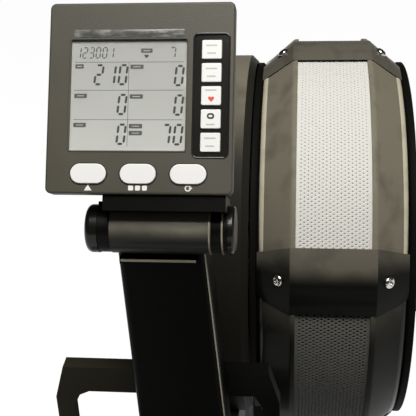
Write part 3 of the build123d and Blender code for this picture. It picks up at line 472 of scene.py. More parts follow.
def stored(bm: bmesh.types.BMesh, name: str) -> bpy.types.Object:
    """Turns a mesh in the making into an object.

    Args:
        bm: the mesh, which is used up.
        name: the object's name.

    Returns:
        The new object.
    """
    mesh = bpy.data.meshes.new(name)
    bm.to_mesh(mesh)
    bm.free()
    obj = bpy.data.objects.new(name, mesh)
    bpy.context.scene.collection.objects.link(obj)
    return obj


def clad(mesh: bpy.types.Mesh, finish: AnyFinish) -> None:
    """Gives a mesh its one finish."""
    mesh.materials.clear()
    mesh.materials.append(PAINTBOX.get(finish))


def note(obj: bpy.types.Object, body: Optional[str]) -> None:
    """Logs a finished piece."""
    LOG.info("%s: %d faces on %s", obj.name, len(obj.data.polygons), body)


class Piece:
    """A mesh in the making, in millimetres: bmesh operators first, then an object at the origin."""

    def __init__(self, name: str) -> None:
        """Starts an empty mesh under the object's name."""
        self.name = name
        self.bm = bmesh.new()

    def plate(
        self, size: Flat, height: float, place: Matrix,
        radius: float = 0.0, edge: float = 0.0, hole: float = 0.0,
    ) -> None:
        """Adds a flat plate with rounded corners.

        Args:
            size: width and length.
            height: thickness along the place's Z.
            place: where its lower face sits.
            radius: corner radius.
            edge: bevel of its upper edge.
            hole: width of the frame that stays when its middle is cut out, or nought for a full plate.
        """
        made = bmesh.ops.create_grid(self.bm, x_segments=1, y_segments=1, size=0.5)
        verts = made["verts"]
        bmesh.ops.scale(self.bm, vec=(size[0] * MM, size[1] * MM, 1.0), verts=verts)
        faces = self._faces(verts)
        if radius > 0.0:
            faces = self._faces(self._bevel(verts, radius, 6, "VERTICES"))
        if hole > 0.0:
            inner = bmesh.ops.inset_region(
                self.bm, faces=faces, thickness=hole * MM, use_even_offset=True, use_boundary=True
            )
            bmesh.ops.delete(self.bm, geom=faces, context="FACES_ONLY")
            faces = inner["faces"]
        lifted = bmesh.ops.extrude_face_region(self.bm, geom=faces, use_keep_orig=True)
        top = [g for g in lifted["geom"] if isinstance(g, bmesh.types.BMFace)]
        top_verts = list({v for f in top for v in f.verts})
        bmesh.ops.translate(self.bm, vec=(0.0, 0.0, height * MM), verts=top_verts)
        shell = self._island(top_verts)
        bmesh.ops.recalc_face_normals(self.bm, faces=self._faces(shell))
        if edge > 0.0:
            rims = {e for f in top for e in f.edges if len(set(e.link_faces) & set(top)) == 1}
            self._bevel(list(rims), edge, 3, "EDGES")
            shell = self._island([v for v in shell if v.is_valid])
        bmesh.ops.transform(self.bm, matrix=place, verts=[v for v in shell if v.is_valid])

    def _faces(self, verts: Verts) -> List[bmesh.types.BMFace]:
        """All faces that touch the vertices."""
        return list({f for v in verts for f in v.link_faces})

    def _bevel(self, geom: Union[Verts, Edges], width: float, segments: int, affect: str) -> Verts:
        """Rounds corners or edges.

        Args:
            geom: what is rounded.
            width: how far from the corner.
            segments: steps of the round.
            affect: VERTICES or EDGES.

        Returns:
            The new vertices.
        """
        made = bmesh.ops.bevel(
            self.bm, geom=geom, offset=width * MM, segments=segments, profile=0.5, affect=affect, material=-1
        )
        return made["verts"]

    def _island(self, seeds: Verts) -> Verts:
        """Gathers all vertices joined to the seeds.

        Args:
            seeds: vertices to start from.

        Returns:
            The whole connected shell.
        """
        seen = set(seeds)
        queue = list(seeds)
        while queue:
            for edge in queue.pop().link_edges:
                fresh = [v for v in edge.verts if v not in seen]
                seen.update(fresh)
                queue.extend(fresh)
        return list(seen)

    def prism(self, outline: Sequence[Flat], height: float, place: Matrix) -> None:
        """Adds a straight prism on a small outline.

        Args:
            outline: its corners, in order.
            height: thickness along the place's Z.
            place: where its lower face sits.
        """
        verts = [self.bm.verts.new((x * MM, y * MM, 0.0)) for x, y in outline]
        face = self.bm.faces.new(verts)
        lifted = bmesh.ops.extrude_face_region(self.bm, geom=[face], use_keep_orig=True)
        top = [g for g in lifted["geom"] if isinstance(g, bmesh.types.BMVert)]
        bmesh.ops.translate(self.bm, vec=(0.0, 0.0, height * MM), verts=top)
        shell = verts + top
        bmesh.ops.recalc_face_normals(self.bm, faces=self._faces(shell))
        bmesh.ops.transform(self.bm, matrix=place, verts=shell)

    def block(self, size: Point, place: Matrix, edge: float) -> None:
        """Adds a box with bevelled edges.

        Args:
            size: its three sides.
            place: where its middle sits.
            edge: bevel of all its edges.
        """
        made = bmesh.ops.create_cube(self.bm, size=1.0)
        verts = made["verts"]
        bmesh.ops.scale(self.bm, vec=[side * MM for side in size], verts=verts)
        edges = list({e for v in verts for e in v.link_edges})
        rounded = self._bevel(edges, edge, 3, "EDGES")
        bmesh.ops.transform(self.bm, matrix=place, verts=self._island(rounded))

    def lathe(
        self, profile: Sequence[Flat], place: Matrix, steps: int, closed: bool = True, sweep: float = math.tau
    ) -> None:
        """Spins a profile of radius and height round the place's Z.

        Args:
            profile: radius and height pairs.
            place: where the axis stands.
            steps: sides of the round.
            closed: whether the profile joins back to its start.
            sweep: how far round it goes.
        """
        verts = [self.bm.verts.new((radius * MM, 0.0, height * MM)) for radius, height in profile]
        edges = [self.bm.edges.new(pair) for pair in zip(verts, verts[1:])]
        if closed:
            edges.append(self.bm.edges.new((verts[-1], verts[0])))
        bmesh.ops.spin(
            self.bm, geom=verts + edges, cent=(0, 0, 0), axis=(0, 0, 1),
            angle=sweep, steps=steps, use_merge=sweep == math.tau,
        )
        shell = self._island(verts)
        bmesh.ops.remove_doubles(self.bm, verts=shell, dist=1e-6)
        shell = self._island([v for v in shell if v.is_valid])
        bmesh.ops.recalc_face_normals(self.bm, faces=self._faces(shell))
        bmesh.ops.transform(self.bm, matrix=place, verts=shell)

    def place(
        self, body: Optional[str], finish: AnyFinish, slot: str,
        replaces: Sequence[str] = (), angle: float = 35.0,
    ) -> bpy.types.Object:
        """Turns the mesh into an object on a body.

        Args:
            body: the body that it rides on, or none to leave it unattached.
            finish: its surface.
            slot: a material slot's name, which is not used.
            replaces: CAD nodes that it stands for.
            angle: edges sharper than this stay sharp.

        Returns:
            The new object.
        """
        obj = stored(self.bm, self.name)
        obj.data.shade_smooth()
        obj.data.set_sharp_from_angle(angle=math.radians(angle))
        clad(obj.data, finish)
        if body:
            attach(obj, body)
        if replaces:
            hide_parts(*replaces)
        note(obj, body)
        return obj


def shift(x: float, y: float, z: float) -> Matrix:
    """A plain move in millimetres."""
    return Matrix.Translation((x * MM, y * MM, z * MM))


def basis(origin: Point, across: Point, along: Point) -> Matrix:
    """A frame with X along across and Y along along.

    Args:
        origin: its origin in millimetres.
        across: direction of X.
        along: direction of Y.

    Returns:
        The frame as a matrix.
    """
    x = Vector(across).normalized()
    y = Vector(along).normalized()
    turned = Matrix((x, y, x.cross(y))).transposed().to_4x4()
    return shift(*origin) @ turned


def leaning(degrees: float) -> Point:
    """The upward direction of a face that leans away from the rower."""
    turn = math.radians(degrees)
    return (-math.sin(turn), 0.0, math.cos(turn))


def mirrored(half: Sequence[Flat]) -> List[Flat]:
    """A whole outline from its right half, which starts and ends on the middle line."""
    return list(half) + [(-x, y) for x, y in reversed(half[1:-1])]


def thicken(obj: bpy.types.Object, name: str, thickness: float, offset: float) -> None:
    """Gives a sheet its thickness.

    Args:
        obj: the sheet.
        name: the modifier's name.
        thickness: in millimetres.
        offset: minus one inwards, nought to both sides.
    """
    wall = obj.modifiers.new(name, "SOLIDIFY")
    wall.thickness = thickness * MM
    wall.offset = offset


@dataclass
class Layout:
    """Places of the main pieces, in millimetres, as in the part's source."""

    fan_x: float = -935.1
    fan_y: float = 143.0
    fan_z: float = 575.0
    mesh_radius: float = 265.0
    mesh_half_width: float = 42.0
    drum_half_width: float = 95.0
    console_back: float = 406.7
    console_y: float = -27.6
    console_rise: float = 357.5
    console_tilt: float = 32.2
    pivot_back: float = 430.0
    pivot_rise: float = 245.6
    strap_mid: float = 544.2
    foot_back: float = 590.0
    foot_offset: float = 118.0
    foot_height: float = 360.0
    foot_tilt: float = 46.0

    @property
    def face(self) -> Matrix:
        """The console's face: X right, Y up, Z out."""
        origin = (self.fan_x + self.console_back, self.console_y, self.fan_z + self.console_rise)
        return basis(origin, (0, 1, 0), leaning(self.console_tilt))

    @property
    def drum(self) -> Matrix:
        """The drum's axis: Z to the rower's right."""
        return basis((self.fan_x, self.fan_y, self.fan_z), (0, 0, 1), (1, 0, 0))

    def foot(self, side: int) -> Matrix:
        """A footplate's face: X right, Y to the toes, Z out."""
        origin = (self.fan_x + self.foot_back, side * self.foot_offset, self.foot_height)
        return basis(origin, (0, 1, 0), leaning(self.foot_tilt))


LAYOUT = Layout()
SIDES = ((-1, "left"), (1, "right"))
SEGMENTS = {0: "abcdef", 1: "bc", 2: "abged", 3: "abgcd", 7: "abc"}


@dataclass
class ConsoleDressing:
    """Screen marks, prints and trims of the console, in millimetres on its face."""

    body: str = "console"
    screen_z: float = -2.5
    screen_x: float = -10.3
    lip_size: Flat = (100.7, 96.4)
    film_size: Flat = (94.0, 6.8)
    bead_size: Flat = (31.2, 105.2)
    ink_depth: float = 0.05
    rule_depth: float = 0.04
    rule_length: float = 92.4
    sign_depth: float = 0.06
    digit_size: Flat = (6.0, 16.2)
    digit_stroke: float = 1.9
    digit_lean: float = 0.1
    small_size: Flat = (3.4, 8.8)
    small_stroke: float = 0.95
    small_step: float = 5.6
    label_height: float = 3.7
    button_step: float = 41.8
    button_rim: Flat = (32.4, 18.8)
    button_y: float = -64.0
    sign_y: float = -75.6
    key_count: int = 5
    key_x: float = 59.3
    key_y: float = 40.2
    key_step: float = 19.4
    key_top: float = 0.5
    rear_z: float = -42.0
    screw_offset: float = 62.0
    vent_size: Flat = (26.0, 1.6)
    vent_step: float = 5.0

    def at(self, x: float, y: float, z: float) -> Matrix:
        """A place on the console's face."""
        return LAYOUT.face @ shift(x, y, z)

    def behind(self, x: float, y: float, lift: float = 0.0) -> Matrix:
        """A place on the rear case, facing to the front of the machine."""
        return self.at(x, y, self.rear_z - lift) @ Matrix.Rotation(math.pi, 4, "Y")

    def digit(self, piece: Piece, number: int, spot: Flat, size: Flat, stroke: float) -> None:
        """Adds one slanted seven-segment digit.

        Args:
            piece: the mesh that takes it.
            number: which digit.
            spot: its middle.
            size: width and height.
            stroke: width of a segment.
        """
        half_w, half_h = size[0] / 2, size[1] / 2
        gap = stroke * 0.35
        tip = stroke / 2
        lean = Matrix.Identity(4)
        lean[0][1] = self.digit_lean
        bars = {
            "a": (0, half_h, True), "g": (0, 0, True), "d": (0, -half_h, True),
            "f": (-half_w, half_h / 2, False), "b": (half_w, half_h / 2, False),
            "e": (-half_w, -half_h / 2, False), "c": (half_w, -half_h / 2, False),
        }
        for name in SEGMENTS[number]:
            bar_x, bar_y, level = bars[name]
            reach = (half_w if level else half_h / 2) - gap
            outline = [
                (-reach, 0), (-reach + tip, -tip), (reach - tip, -tip),
                (reach, 0), (reach - tip, tip), (-reach + tip, tip),
            ]
            if not level:
                outline = [(-v, u) for u, v in outline]
            place = self.at(*spot, self.screen_z) @ lean @ shift(bar_x, bar_y, 0)
            piece.prism(outline, self.ink_depth, place)

    def screen_ink(self) -> None:
        """Dark digits and the small heart on the screen."""
        ink = Piece("screen_digits")
        digits = (
            (2, -35.7, 19.8), (1, -25.1, 19.8), (0, -15.2, 19.8), (0, 32.3, 18.9), (0, -15.4, -5.4),
            (0, 32.3, -5.9), (0, -15.5, -30.5), (7, 22.2, -30.7), (0, 32.3, -30.7),
        )
        for number, x, y in digits:
            self.digit(ink, number, (x, y), self.digit_size, self.digit_stroke)
        for place, number in enumerate((1, 2, 3, 0, 0, 1)):
            spot = (-53.5 + self.small_step * place, 38.5)
            self.digit(ink, number, spot, self.small_size, self.small_stroke)
        self.digit(ink, 7, (26.5, 38.3), (4.2, 8.6), 1.0)
        heart = mirrored([(0, -2.0), (1.9, 0.0), (1.7, 1.1), (0.9, 1.4), (0, 0.8)])
        ink.prism(heart, self.ink_depth, self.at(4.4, 35.6, self.screen_z))
        ink.place(self.body, Finishes.ink, "screen_face", angle=20.0)

    def screen_labels(self) -> None:
        """Rules and label boxes on the screen."""
        rules = Piece("screen_rules")
        for y in (30.5, 6.6, -18.3):
            rules.plate((self.rule_length, 0.42), self.rule_depth, self.at(self.screen_x, y, self.screen_z))
        rules.plate((0.38, 71.0), self.rule_depth, self.at(self.screen_x, -5.0, self.screen_z))
        boxes = (
            (-52.5, 27.0, 7.2), (-3.5, 26.5, 11.2), (-50.9, 1.9, 10.8), (-3.5, 1.3, 11.2),
            (-51.0, -22.8, 10.8), (-3.5, -23.7, 11.2), (-3.5, -29.5, 11.2), (4.5, 40.1, 9.8),
        )
        pale = Piece("label_bars")
        for x, y, width in boxes:
            spot = self.at(x, y, self.screen_z)
            rules.plate((width, self.label_height), self.rule_depth, spot, radius=0.5)
            pale.plate((width * 0.55, 0.4), self.sign_depth, spot)
        rules.place(self.body, Finishes.faint, "screen_face")
        pale.place(self.body, Finishes.screen, "screen_face")

    def trims(self) -> None:
        """Screen lip, film strip, panel bead and button rims."""
        lip = Piece("screen_lip")
        lip.plate(self.lip_size, 0.5, self.at(self.screen_x, 2.3, -0.05), radius=2.0, edge=0.4, hole=1.4)
        lip.place(self.body, Finishes.console, "console_plastic")
        film = Piece("film_strip")
        film.plate(self.film_size, 0.25, self.at(-10.2, 54.2, 0.0), radius=0.8, edge=0.1)
        film.place(self.body, Finishes.film, "console_plastic")
        bead = Piece("panel_bead")
        bead.plate(self.bead_size, 0.9, self.at(59.5, 1.8, -0.1), radius=5.0, edge=0.5, hole=1.3)
        bead.place(self.body, Finishes.gloss, "key_panel_gloss")
        rims = Piece("button_rims")
        for step in (-1, 0, 1):
            spot = self.at(self.button_step * step, self.button_y, -0.05)
            rims.plate(self.button_rim, 0.35, spot, radius=9.39, edge=0.2, hole=0.75)
        rims.place(self.body, Finishes.plastic, "console_plastic")

    def signs(self) -> None:
        """Plain symbols under the three buttons."""
        signs = Piece("button_signs")
        up = [(-3.2, -2.4), (3.2, -2.4), (0.0, 2.6)]
        signs.prism(up, self.sign_depth, self.at(-self.button_step, self.sign_y, 0.0))
        for step in (-1, 0, 1):
            signs.plate((4.2, 4.2), self.sign_depth, self.at(5.8 * step, self.sign_y, 0.0), radius=0.8)
        ring = self.at(self.button_step, self.sign_y, 0.0)
        signs.plate((5.2, 5.2), self.sign_depth, ring, radius=2.59, hole=1.0)
        tip = [(-1.7, 0.0), (1.7, 0.0), (0.0, 2.2)]
        signs.prism(tip, self.sign_depth, self.at(44.0, -76.0, 0.0))
        signs.place(self.body, Finishes.white, "key_white")

    def keys(self) -> None:
        """Marks on the square keys, each riding on its key."""
        for number in range(1, self.key_count + 1):
            y = self.key_y - self.key_step * (number - 1)
            bars = Piece(f"key_{number}_bars")
            places = {3: (4.6,), 4: (-4.6,)}.get(number, (3.4, -3.2))
            for offset in places:
                width = 9.4 if offset > 0 else 7.4
                spot = self.at(self.key_x, y + offset, self.key_top)
                bars.plate((width, 1.2), self.ink_depth, spot, radius=0.3)
            bars.place(f"key_{number}_body", Finishes.grey, "key_white")
        heart = Piece("key_heart")
        outline = mirrored([(0, -2.7), (2.5, 0.1), (2.4, 1.4), (1.3, 2.0), (0, 1.2)])
        heart.prism(outline, self.sign_depth, self.at(59.6, -1.2, self.key_top))
        heart.place("key_3_body", Finishes.red, "key_white")
        ring = Piece("key_ring")
        ring.plate((6.2, 4.9), self.sign_depth, self.at(59.4, -15.6, self.key_top), radius=2.4, hole=1.5)
        ring.place("key_4_body", Finishes.ink, "key_white")

    def back(self) -> None:
        """Battery door, screws and vent slots on the rear case."""
        door = Piece("battery_door")
        door.plate((62.0, 40.0), 1.2, self.behind(0, 34), radius=3.0, edge=0.6)
        for step in (-1, 0, 1):
            door.plate((14.0, 1.4), 0.8, self.behind(0, 46 + 2.6 * step, 1.2), edge=0.3)
        door.place(self.body, Finishes.console, "console_plastic")
        screws = Piece("console_screws")
        head = [(0.0, 0.0), (2.8, 0.0), (2.8, 0.7), (1.9, 1.3), (0.0, 1.4)]
        for x in (-self.screw_offset, self.screw_offset):
            for y in (-self.screw_offset, self.screw_offset):
                screws.lathe(head, self.behind(x, y), 20, closed=False)
        screws.place(self.body, Finishes.steel, "bright_steel")
        vents = Piece("case_vents")
        for step in range(6):
            for x in (-44.0, 48.0):
                vents.plate(self.vent_size, 0.5, self.behind(x, -28 + self.vent_step * step), edge=0.2)
        vents.place(self.body, Finishes.console, "console_plastic")

    def build(self) -> None:
        """Dresses the whole console."""
        self.screen_ink()
        self.screen_labels()
        self.trims()
        self.signs()
        self.keys()
        self.back()


@dataclass
class DrumDressing:
    """Perforated panels, seals, rims, bolts and rings of the fan drum."""

    body: str = "frame"
    panels: int = 5
    shade_from: int = 1
    shade_to: int = 3
    pitch: float = 4.7
    web: float = 3.05
    shade_web: float = 2.1
    sheet: float = 0.8
    tuck: float = 1.2
    border: Flat = (-2.2, 3.4)
    border_rise: float = 0.15
    border_depth: float = 1.0
    border_steps: int = 40
    bolt_offset: float = 61.0
    bolt_radius: float = 261.71
    bolt_lean: float = math.atan2(33.0, 38.0)
    bolt_sink: float = 0.5
    bolt_head: Profile = (
        (0.0, 0.0), (7.0, 0.0), (7.0, 1.7), (6.5, 2.9), (5.5, 3.8), (4.2, 4.35), (3.2, 4.5),
        (2.8, 4.3), (2.8, 2.0), (0.0, 1.8),
    )
    seal_depths: Profile = (
        (224.5, 9.6), (234.0, 9.6), (236.9, 6.6), (236.9, 1.1), (235.6, 0.2), (224.5, 0.2),
    )
    rim_edge: Profile = (
        (236.0, 78.6), (240.95, 78.6), (240.5, 80.3), (238.9, 82.6), (237.2, 84.2), (234.5, 84.6),
    )
    rim_steps: int = 160
    ring_radii: Flat = (186.0, 201.0)
    ring_rise: float = 2.2

    @property
    def reach(self) -> float:
        """The turn from one clip to the next."""
        return math.tau / self.panels

    def dull(self, number: int) -> bool:
        """Whether a panel lies below the rear clip, where the band gets a darker copy as painted shade."""
        return self.shade_from <= number <= self.shade_to

    def finish(self, number: int) -> Finish:
        """A panel's finish."""
        return Finishes.shaded_band if self.dull(number) else Finishes.band

    def perforate(self, bm: bmesh.types.BMesh, half: float, end: float, web: float) -> None:
        """Makes a flat sheet of staggered diamond holes.

        Args:
            bm: the mesh that takes it.
            half: half its width in metres.
            end: half its length in metres.
            web: the metal between two holes in metres.
        """
        rows = round(self.reach * LAYOUT.mesh_radius / self.pitch)
        pitch = 2 * end / rows
        column = pitch * math.cos(math.radians(30.0))
        cells = 2 * math.ceil((rows + half / column) / 2) + 2
        bmesh.ops.create_grid(bm, x_segments=cells, y_segments=cells, size=cells / 2)
        turn = Matrix.Rotation(math.pi / 4, 3, "Z")
        bmesh.ops.rotate(bm, cent=(0, 0, 0), matrix=turn, verts=bm.verts[:])
        bmesh.ops.scale(bm, vec=(column * math.sqrt(2), pitch / math.sqrt(2), 1.0), verts=bm.verts[:])
        spots = [(face, face.calc_center_median()) for face in bm.faces]
        far = [face for face, spot in spots if abs(spot.x) >= half + pitch or abs(spot.y) >= end + pitch]
        bmesh.ops.delete(bm, geom=far, context="FACES")
        holes = bm.faces[:]
        bmesh.ops.inset_individual(bm, faces=holes, thickness=web / 2, use_even_offset=True)
        bmesh.ops.delete(bm, geom=holes, context="FACES")
        for x, y in ((half, 0.0), (-half, 0.0), (0.0, end), (0.0, -end)):
            geom = bm.verts[:] + bm.edges[:] + bm.faces[:]
            bmesh.ops.bisect_plane(
                bm, geom=geom, dist=1e-7, plane_co=(x, y, 0), plane_no=(x, y, 0), clear_outer=True
            )

    def panel(self, number: int) -> None:
        """One perforated panel, from clip to clip.

        Args:
            number: which panel, from nought.
        """
        radius = LAYOUT.mesh_radius * MM
        half = (LAYOUT.mesh_half_width + self.tuck) * MM
        web = self.shade_web if self.dull(number) else self.web
        piece = Piece(f"mesh_panel_{number + 1}")
        bm = piece.bm
        self.perforate(bm, half, self.reach * radius / 2, web * MM)
        start = self.reach * (number + 0.5)
        for vert in bm.verts:
            turn = start + vert.co.y / radius
            vert.co = Vector((radius * math.cos(turn), radius * math.sin(turn), vert.co.x))
        bmesh.ops.recalc_face_normals(bm, faces=bm.faces[:])
        outward = sum(f.normal.dot(Vector((*f.calc_center_median().xy, 0.0))) for f in bm.faces)
        if outward < 0:
            bmesh.ops.reverse_faces(bm, faces=bm.faces[:])
        bmesh.ops.transform(bm, matrix=LAYOUT.drum, verts=bm.verts[:])
        obj = piece.place(self.body, self.finish(number), "mesh_metal", ("mesh_band",), angle=60.0)
        thicken(obj, "sheet", self.sheet, -1.0)

    def borders(self, number: int) -> None:
        """Plain edges of one panel, tucked under the rims.

        Args:
            number: which panel, from nought.
        """
        edges = Piece(f"mesh_border_{number + 1}")
        low, high = (LAYOUT.mesh_half_width + offset for offset in self.border)
        top, under = LAYOUT.mesh_radius + self.border_rise, LAYOUT.mesh_radius - self.border_depth
        profile = [(top, low), (top, high), (under, high), (under, low)]
        start = LAYOUT.drum @ Matrix.Rotation(self.reach * number, 4, "Z")
        for side, _ in SIDES:
            outline = [(radius, side * width) for radius, width in profile]
            edges.lathe(outline, start, self.border_steps, sweep=self.reach)
        edges.place(self.body, self.finish(number), "mesh_metal", angle=40.0)

    def hoops(self, name: str, profile: Sequence[Flat], finish: Finish) -> None:
        """A pair of hoops, one on each side of the drum.

        Args:
            name: the piece's name.
            profile: radius and distance from the drum's middle.
            finish: its surface.
        """
        piece = Piece(name)
        for side, _ in SIDES:
            piece.lathe([(radius, side * width) for radius, width in profile], LAYOUT.drum, self.rim_steps)
        piece.place(self.body, finish, "housing_plastic", angle=50.0)

    def bolts(self) -> None:
        """Button-head bolts with round sockets on the clips."""
        heads = Piece("bolt_heads")
        for number in range(self.panels):
            for side, _ in SIDES:
                turn = Matrix.Rotation(self.reach * number, 4, "Z")
                seat = shift(self.bolt_radius, 0.0, side * self.bolt_offset)
                lean = Matrix.Rotation(math.pi / 2 - side * self.bolt_lean, 4, "Y")
                place = LAYOUT.drum @ turn @ seat @ lean @ shift(0.0, 0.0, -self.bolt_sink)
                heads.lathe(self.bolt_head, place, 32, closed=False)
        heads.place(self.body, Finishes.plated, "bright_steel", ("clip_bolts",))

    def rings(self) -> None:
        """Raised rings on the right shell's outer face."""
        rings = Piece("shell_rings")
        face = LAYOUT.drum_half_width
        top = face + self.ring_rise
        for radius in self.ring_radii:
            profile = [(radius - 5, face), (radius - 3, top), (radius + 3, top), (radius + 5, face)]
            rings.lathe(profile, LAYOUT.drum, 128)
        rings.place(self.body, Finishes.housing, "housing_plastic", angle=50.0)

    def build(self) -> None:
        """Dresses the drum."""
        for number in range(self.panels):
            self.panel(number)
            self.borders(number)
        # Near-black sealing rings fill the groove between shell and cover; their darkness there is partly
        # painted shade.
        seal_and_shade = [(radius, LAYOUT.drum_half_width - depth) for radius, depth in self.seal_depths]
        self.hoops("flange_seals", seal_and_shade, Finishes.seal_and_shade)
        # The rim edges are thin rings on the shells' knees that carry the painted highlight.
        self.hoops("rim_edges", self.rim_edge, Finishes.rim_highlight)
        self.bolts()
        self.rings()


@dataclass
class SeatDressing:
    """The padded seat, swollen by a cloth simulation, with its sewn channels, stitches and piping."""

    body: str = "seat"
    shrink: float = 5.0
    lift: float = 0.3
    voxel: float = 5.0
    held: float = 3.0
    pressure: float = 4.0
    frames: int = 20
    cap: float = 7.0
    dish: float = 5.0
    dish_back: float = 20.0
    dish_half: Flat = (80.0, 95.0)
    fade: float = 8.0
    channel: float = 2.4
    channel_y: float = 58.0
    channel_half: float = 4.2
    welt_level: float = 0.34
    welt_radius: float = 1.9
    welt_passes: int = 6
    stitch: float = 5.6
    stitch_size: Point = (3.7, 1.0, 0.8)
    stitch_edge: float = 0.3
    stitch_share: float = 0.84

    def settle(self, obj: bpy.types.Object) -> None:
        """Applies all modifiers of an object to its mesh.

        Args:
            obj: the object.
        """
        graph = bpy.context.evaluated_depsgraph_get()
        made = bpy.data.meshes.new_from_object(obj.evaluated_get(graph))
        obj.modifiers.clear()
        obj.data = made

    def soften(self, obj: bpy.types.Object, name: str) -> None:
        """Rounds a mesh by one level of subdivision.

        Args:
            obj: the object.
            name: the modifier's name.
        """
        soft = obj.modifiers.new(name, "SUBSURF")
        soft.levels = 1
        soft.render_levels = 1

    def blank(self) -> bpy.types.Object:
        """A slightly small, remeshed copy of the plain cushion.

        Returns:
            An object that holds the start shape.
        """
        low, high = (Vector(v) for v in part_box("seat_cushion"))
        middle = (low + high) / 2
        span = high - low
        bm = bmesh.new()
        bm.from_mesh(frame["nodes"]["seat_cushion"].data)
        bmesh.ops.remove_doubles(bm, verts=bm.verts[:], dist=1e-5)
        bmesh.ops.translate(bm, vec=(-middle.x, -middle.y, -low.z), verts=bm.verts[:])
        factors = [1.0 - 2 * self.shrink * MM / side for side in span.xy]
        factors.append(1.0 - self.shrink * MM / span.z)
        bmesh.ops.scale(bm, vec=factors, verts=bm.verts[:])
        bmesh.ops.translate(bm, vec=(middle.x, middle.y, low.z + self.lift * MM), verts=bm.verts[:])
        obj = stored(bm, "seat_pad")
        grid = obj.modifiers.new("voxels", "REMESH")
        grid.mode = "VOXEL"
        grid.voxel_size = self.voxel * MM
        self.settle(obj)
        return obj

    def swell(self, obj: bpy.types.Object) -> None:
        """Blows the pad up by cloth pressure, with its underside held.

        Args:
            obj: the pad.
        """
        floor = min(v.co.z for v in obj.data.vertices)
        held = obj.vertex_groups.new(name="held")
        under = [v.index for v in obj.data.vertices if v.co.z < floor + self.held * MM]
        held.add(under, 1.0, "REPLACE")
        before = [v.co.copy() for v in obj.data.vertices]
        cloth = obj.modifiers.new("swell", "CLOTH")
        cloth.settings.use_pressure = True
        cloth.settings.uniform_pressure_force = self.pressure
        cloth.settings.effector_weights.gravity = 0.0
        cloth.settings.vertex_group_mass = held.name
        cloth.point_cache.frame_start = 1
        cloth.point_cache.frame_end = self.frames
        scene = bpy.context.scene
        for step in range(1, self.frames + 1):
            scene.frame_set(step)
        self.settle(obj)
        scene.frame_set(1)
        for vert, start in zip(obj.data.vertices, before):
            move = vert.co - start
            if move.length > self.cap * MM:
                vert.co = start + move.normalized() * self.cap * MM

    def sew(self, obj: bpy.types.Object) -> None:
        """Presses the dish and the two sewn channels into the pad's top.

        Args:
            obj: the pad.
        """
        low, high = (Vector(v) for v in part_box("seat_cushion"))
        middle = (low + high) / 2
        half_x, half_y = self.dish_half
        for vert in obj.data.vertices:
            x, y, z = (vert.co - middle) / MM
            upper = min(1.0, max(0.0, z / self.fade))
            hollow = self.dish * math.exp(-((y / half_y) ** 2) - ((x - self.dish_back) / half_x) ** 2)
            offsets = ((y - side * self.channel_y) / self.channel_half for side, _ in SIDES)
            seams = sum(math.exp(-(offset**2)) for offset in offsets)
            vert.co.z -= upper * (hollow + self.channel * seams) * MM

    def piping(self, obj: bpy.types.Object) -> None:
        """A round welt where the top panel meets the sides.

        Args:
            obj: the pad.
        """
        low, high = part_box("seat_cushion")
        bm = bmesh.new()
        bm.from_mesh(obj.data)
        level = low[2] + self.welt_level * (high[2] - low[2])
        geom = bm.verts[:] + bm.edges[:] + bm.faces[:]
        cut = bmesh.ops.bisect_plane(bm, geom=geom, dist=1e-6, plane_co=(0, 0, level), plane_no=(0, 0, 1))
        ring = {g for g in cut["geom_cut"] if isinstance(g, bmesh.types.BMEdge)}
        bmesh.ops.delete(bm, geom=[e for e in bm.edges if e not in ring], context="EDGES")
        bmesh.ops.delete(bm, geom=[v for v in bm.verts if not v.link_edges], context="VERTS")
        for _ in range(self.welt_passes):
            bmesh.ops.smooth_vert(bm, verts=bm.verts[:], factor=0.5, use_axis_x=True, use_axis_y=True)
        line = stored(bm, "seat_piping")
        skin = line.modifiers.new("welt", "SKIN")
        skin.use_smooth_shade = True
        for point in line.data.skin_vertices[0].data:
            point.radius = (self.welt_radius * MM, self.welt_radius * MM)
        self.soften(line, "round")
        self.settle(line)
        clad(line.data, Finishes.piping)
        line.data.shade_smooth()
        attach(line, self.body)
        note(line, self.body)

    def stitches(self, obj: bpy.types.Object) -> None:
        """Thread along both channels, laid on the pad.

        Args:
            obj: the pad.
        """
        low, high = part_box("seat_cushion")
        tree = BVHTree.FromObject(obj, bpy.context.evaluated_depsgraph_get())
        piece = Piece("seat_stitches")
        middle = [(a + b) / 2 for a, b in zip(low, high)]
        count = int((high[0] - low[0]) * self.stitch_share / (self.stitch * MM))
        for side, _ in SIDES:
            for step in range(count):
                x = middle[0] + (step - (count - 1) / 2) * self.stitch * MM
                y = middle[1] + side * self.channel_y * MM
                spot, normal, _, _ = tree.ray_cast(Vector((x, y, high[2] + 0.05)), Vector((0, 0, -1)))
                if spot is None:
                    continue
                place = basis(tuple(spot / MM), Vector((0, 1, 0)).cross(normal), (0, 1, 0))
                piece.block(self.stitch_size, place, self.stitch_edge)
        piece.place(self.body, Finishes.thread, "seat_vinyl")

    def build(self) -> None:
        """Makes the seat."""
        obj = self.blank()
        self.swell(obj)
        self.sew(obj)
        clad(obj.data, Finishes.vinyl)
        obj.data.shade_smooth()
        self.piping(obj)
        self.stitches(obj)
        self.soften(obj, "soft")
        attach(obj, self.body)
        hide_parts("seat_cushion")
        note(obj, self.body)


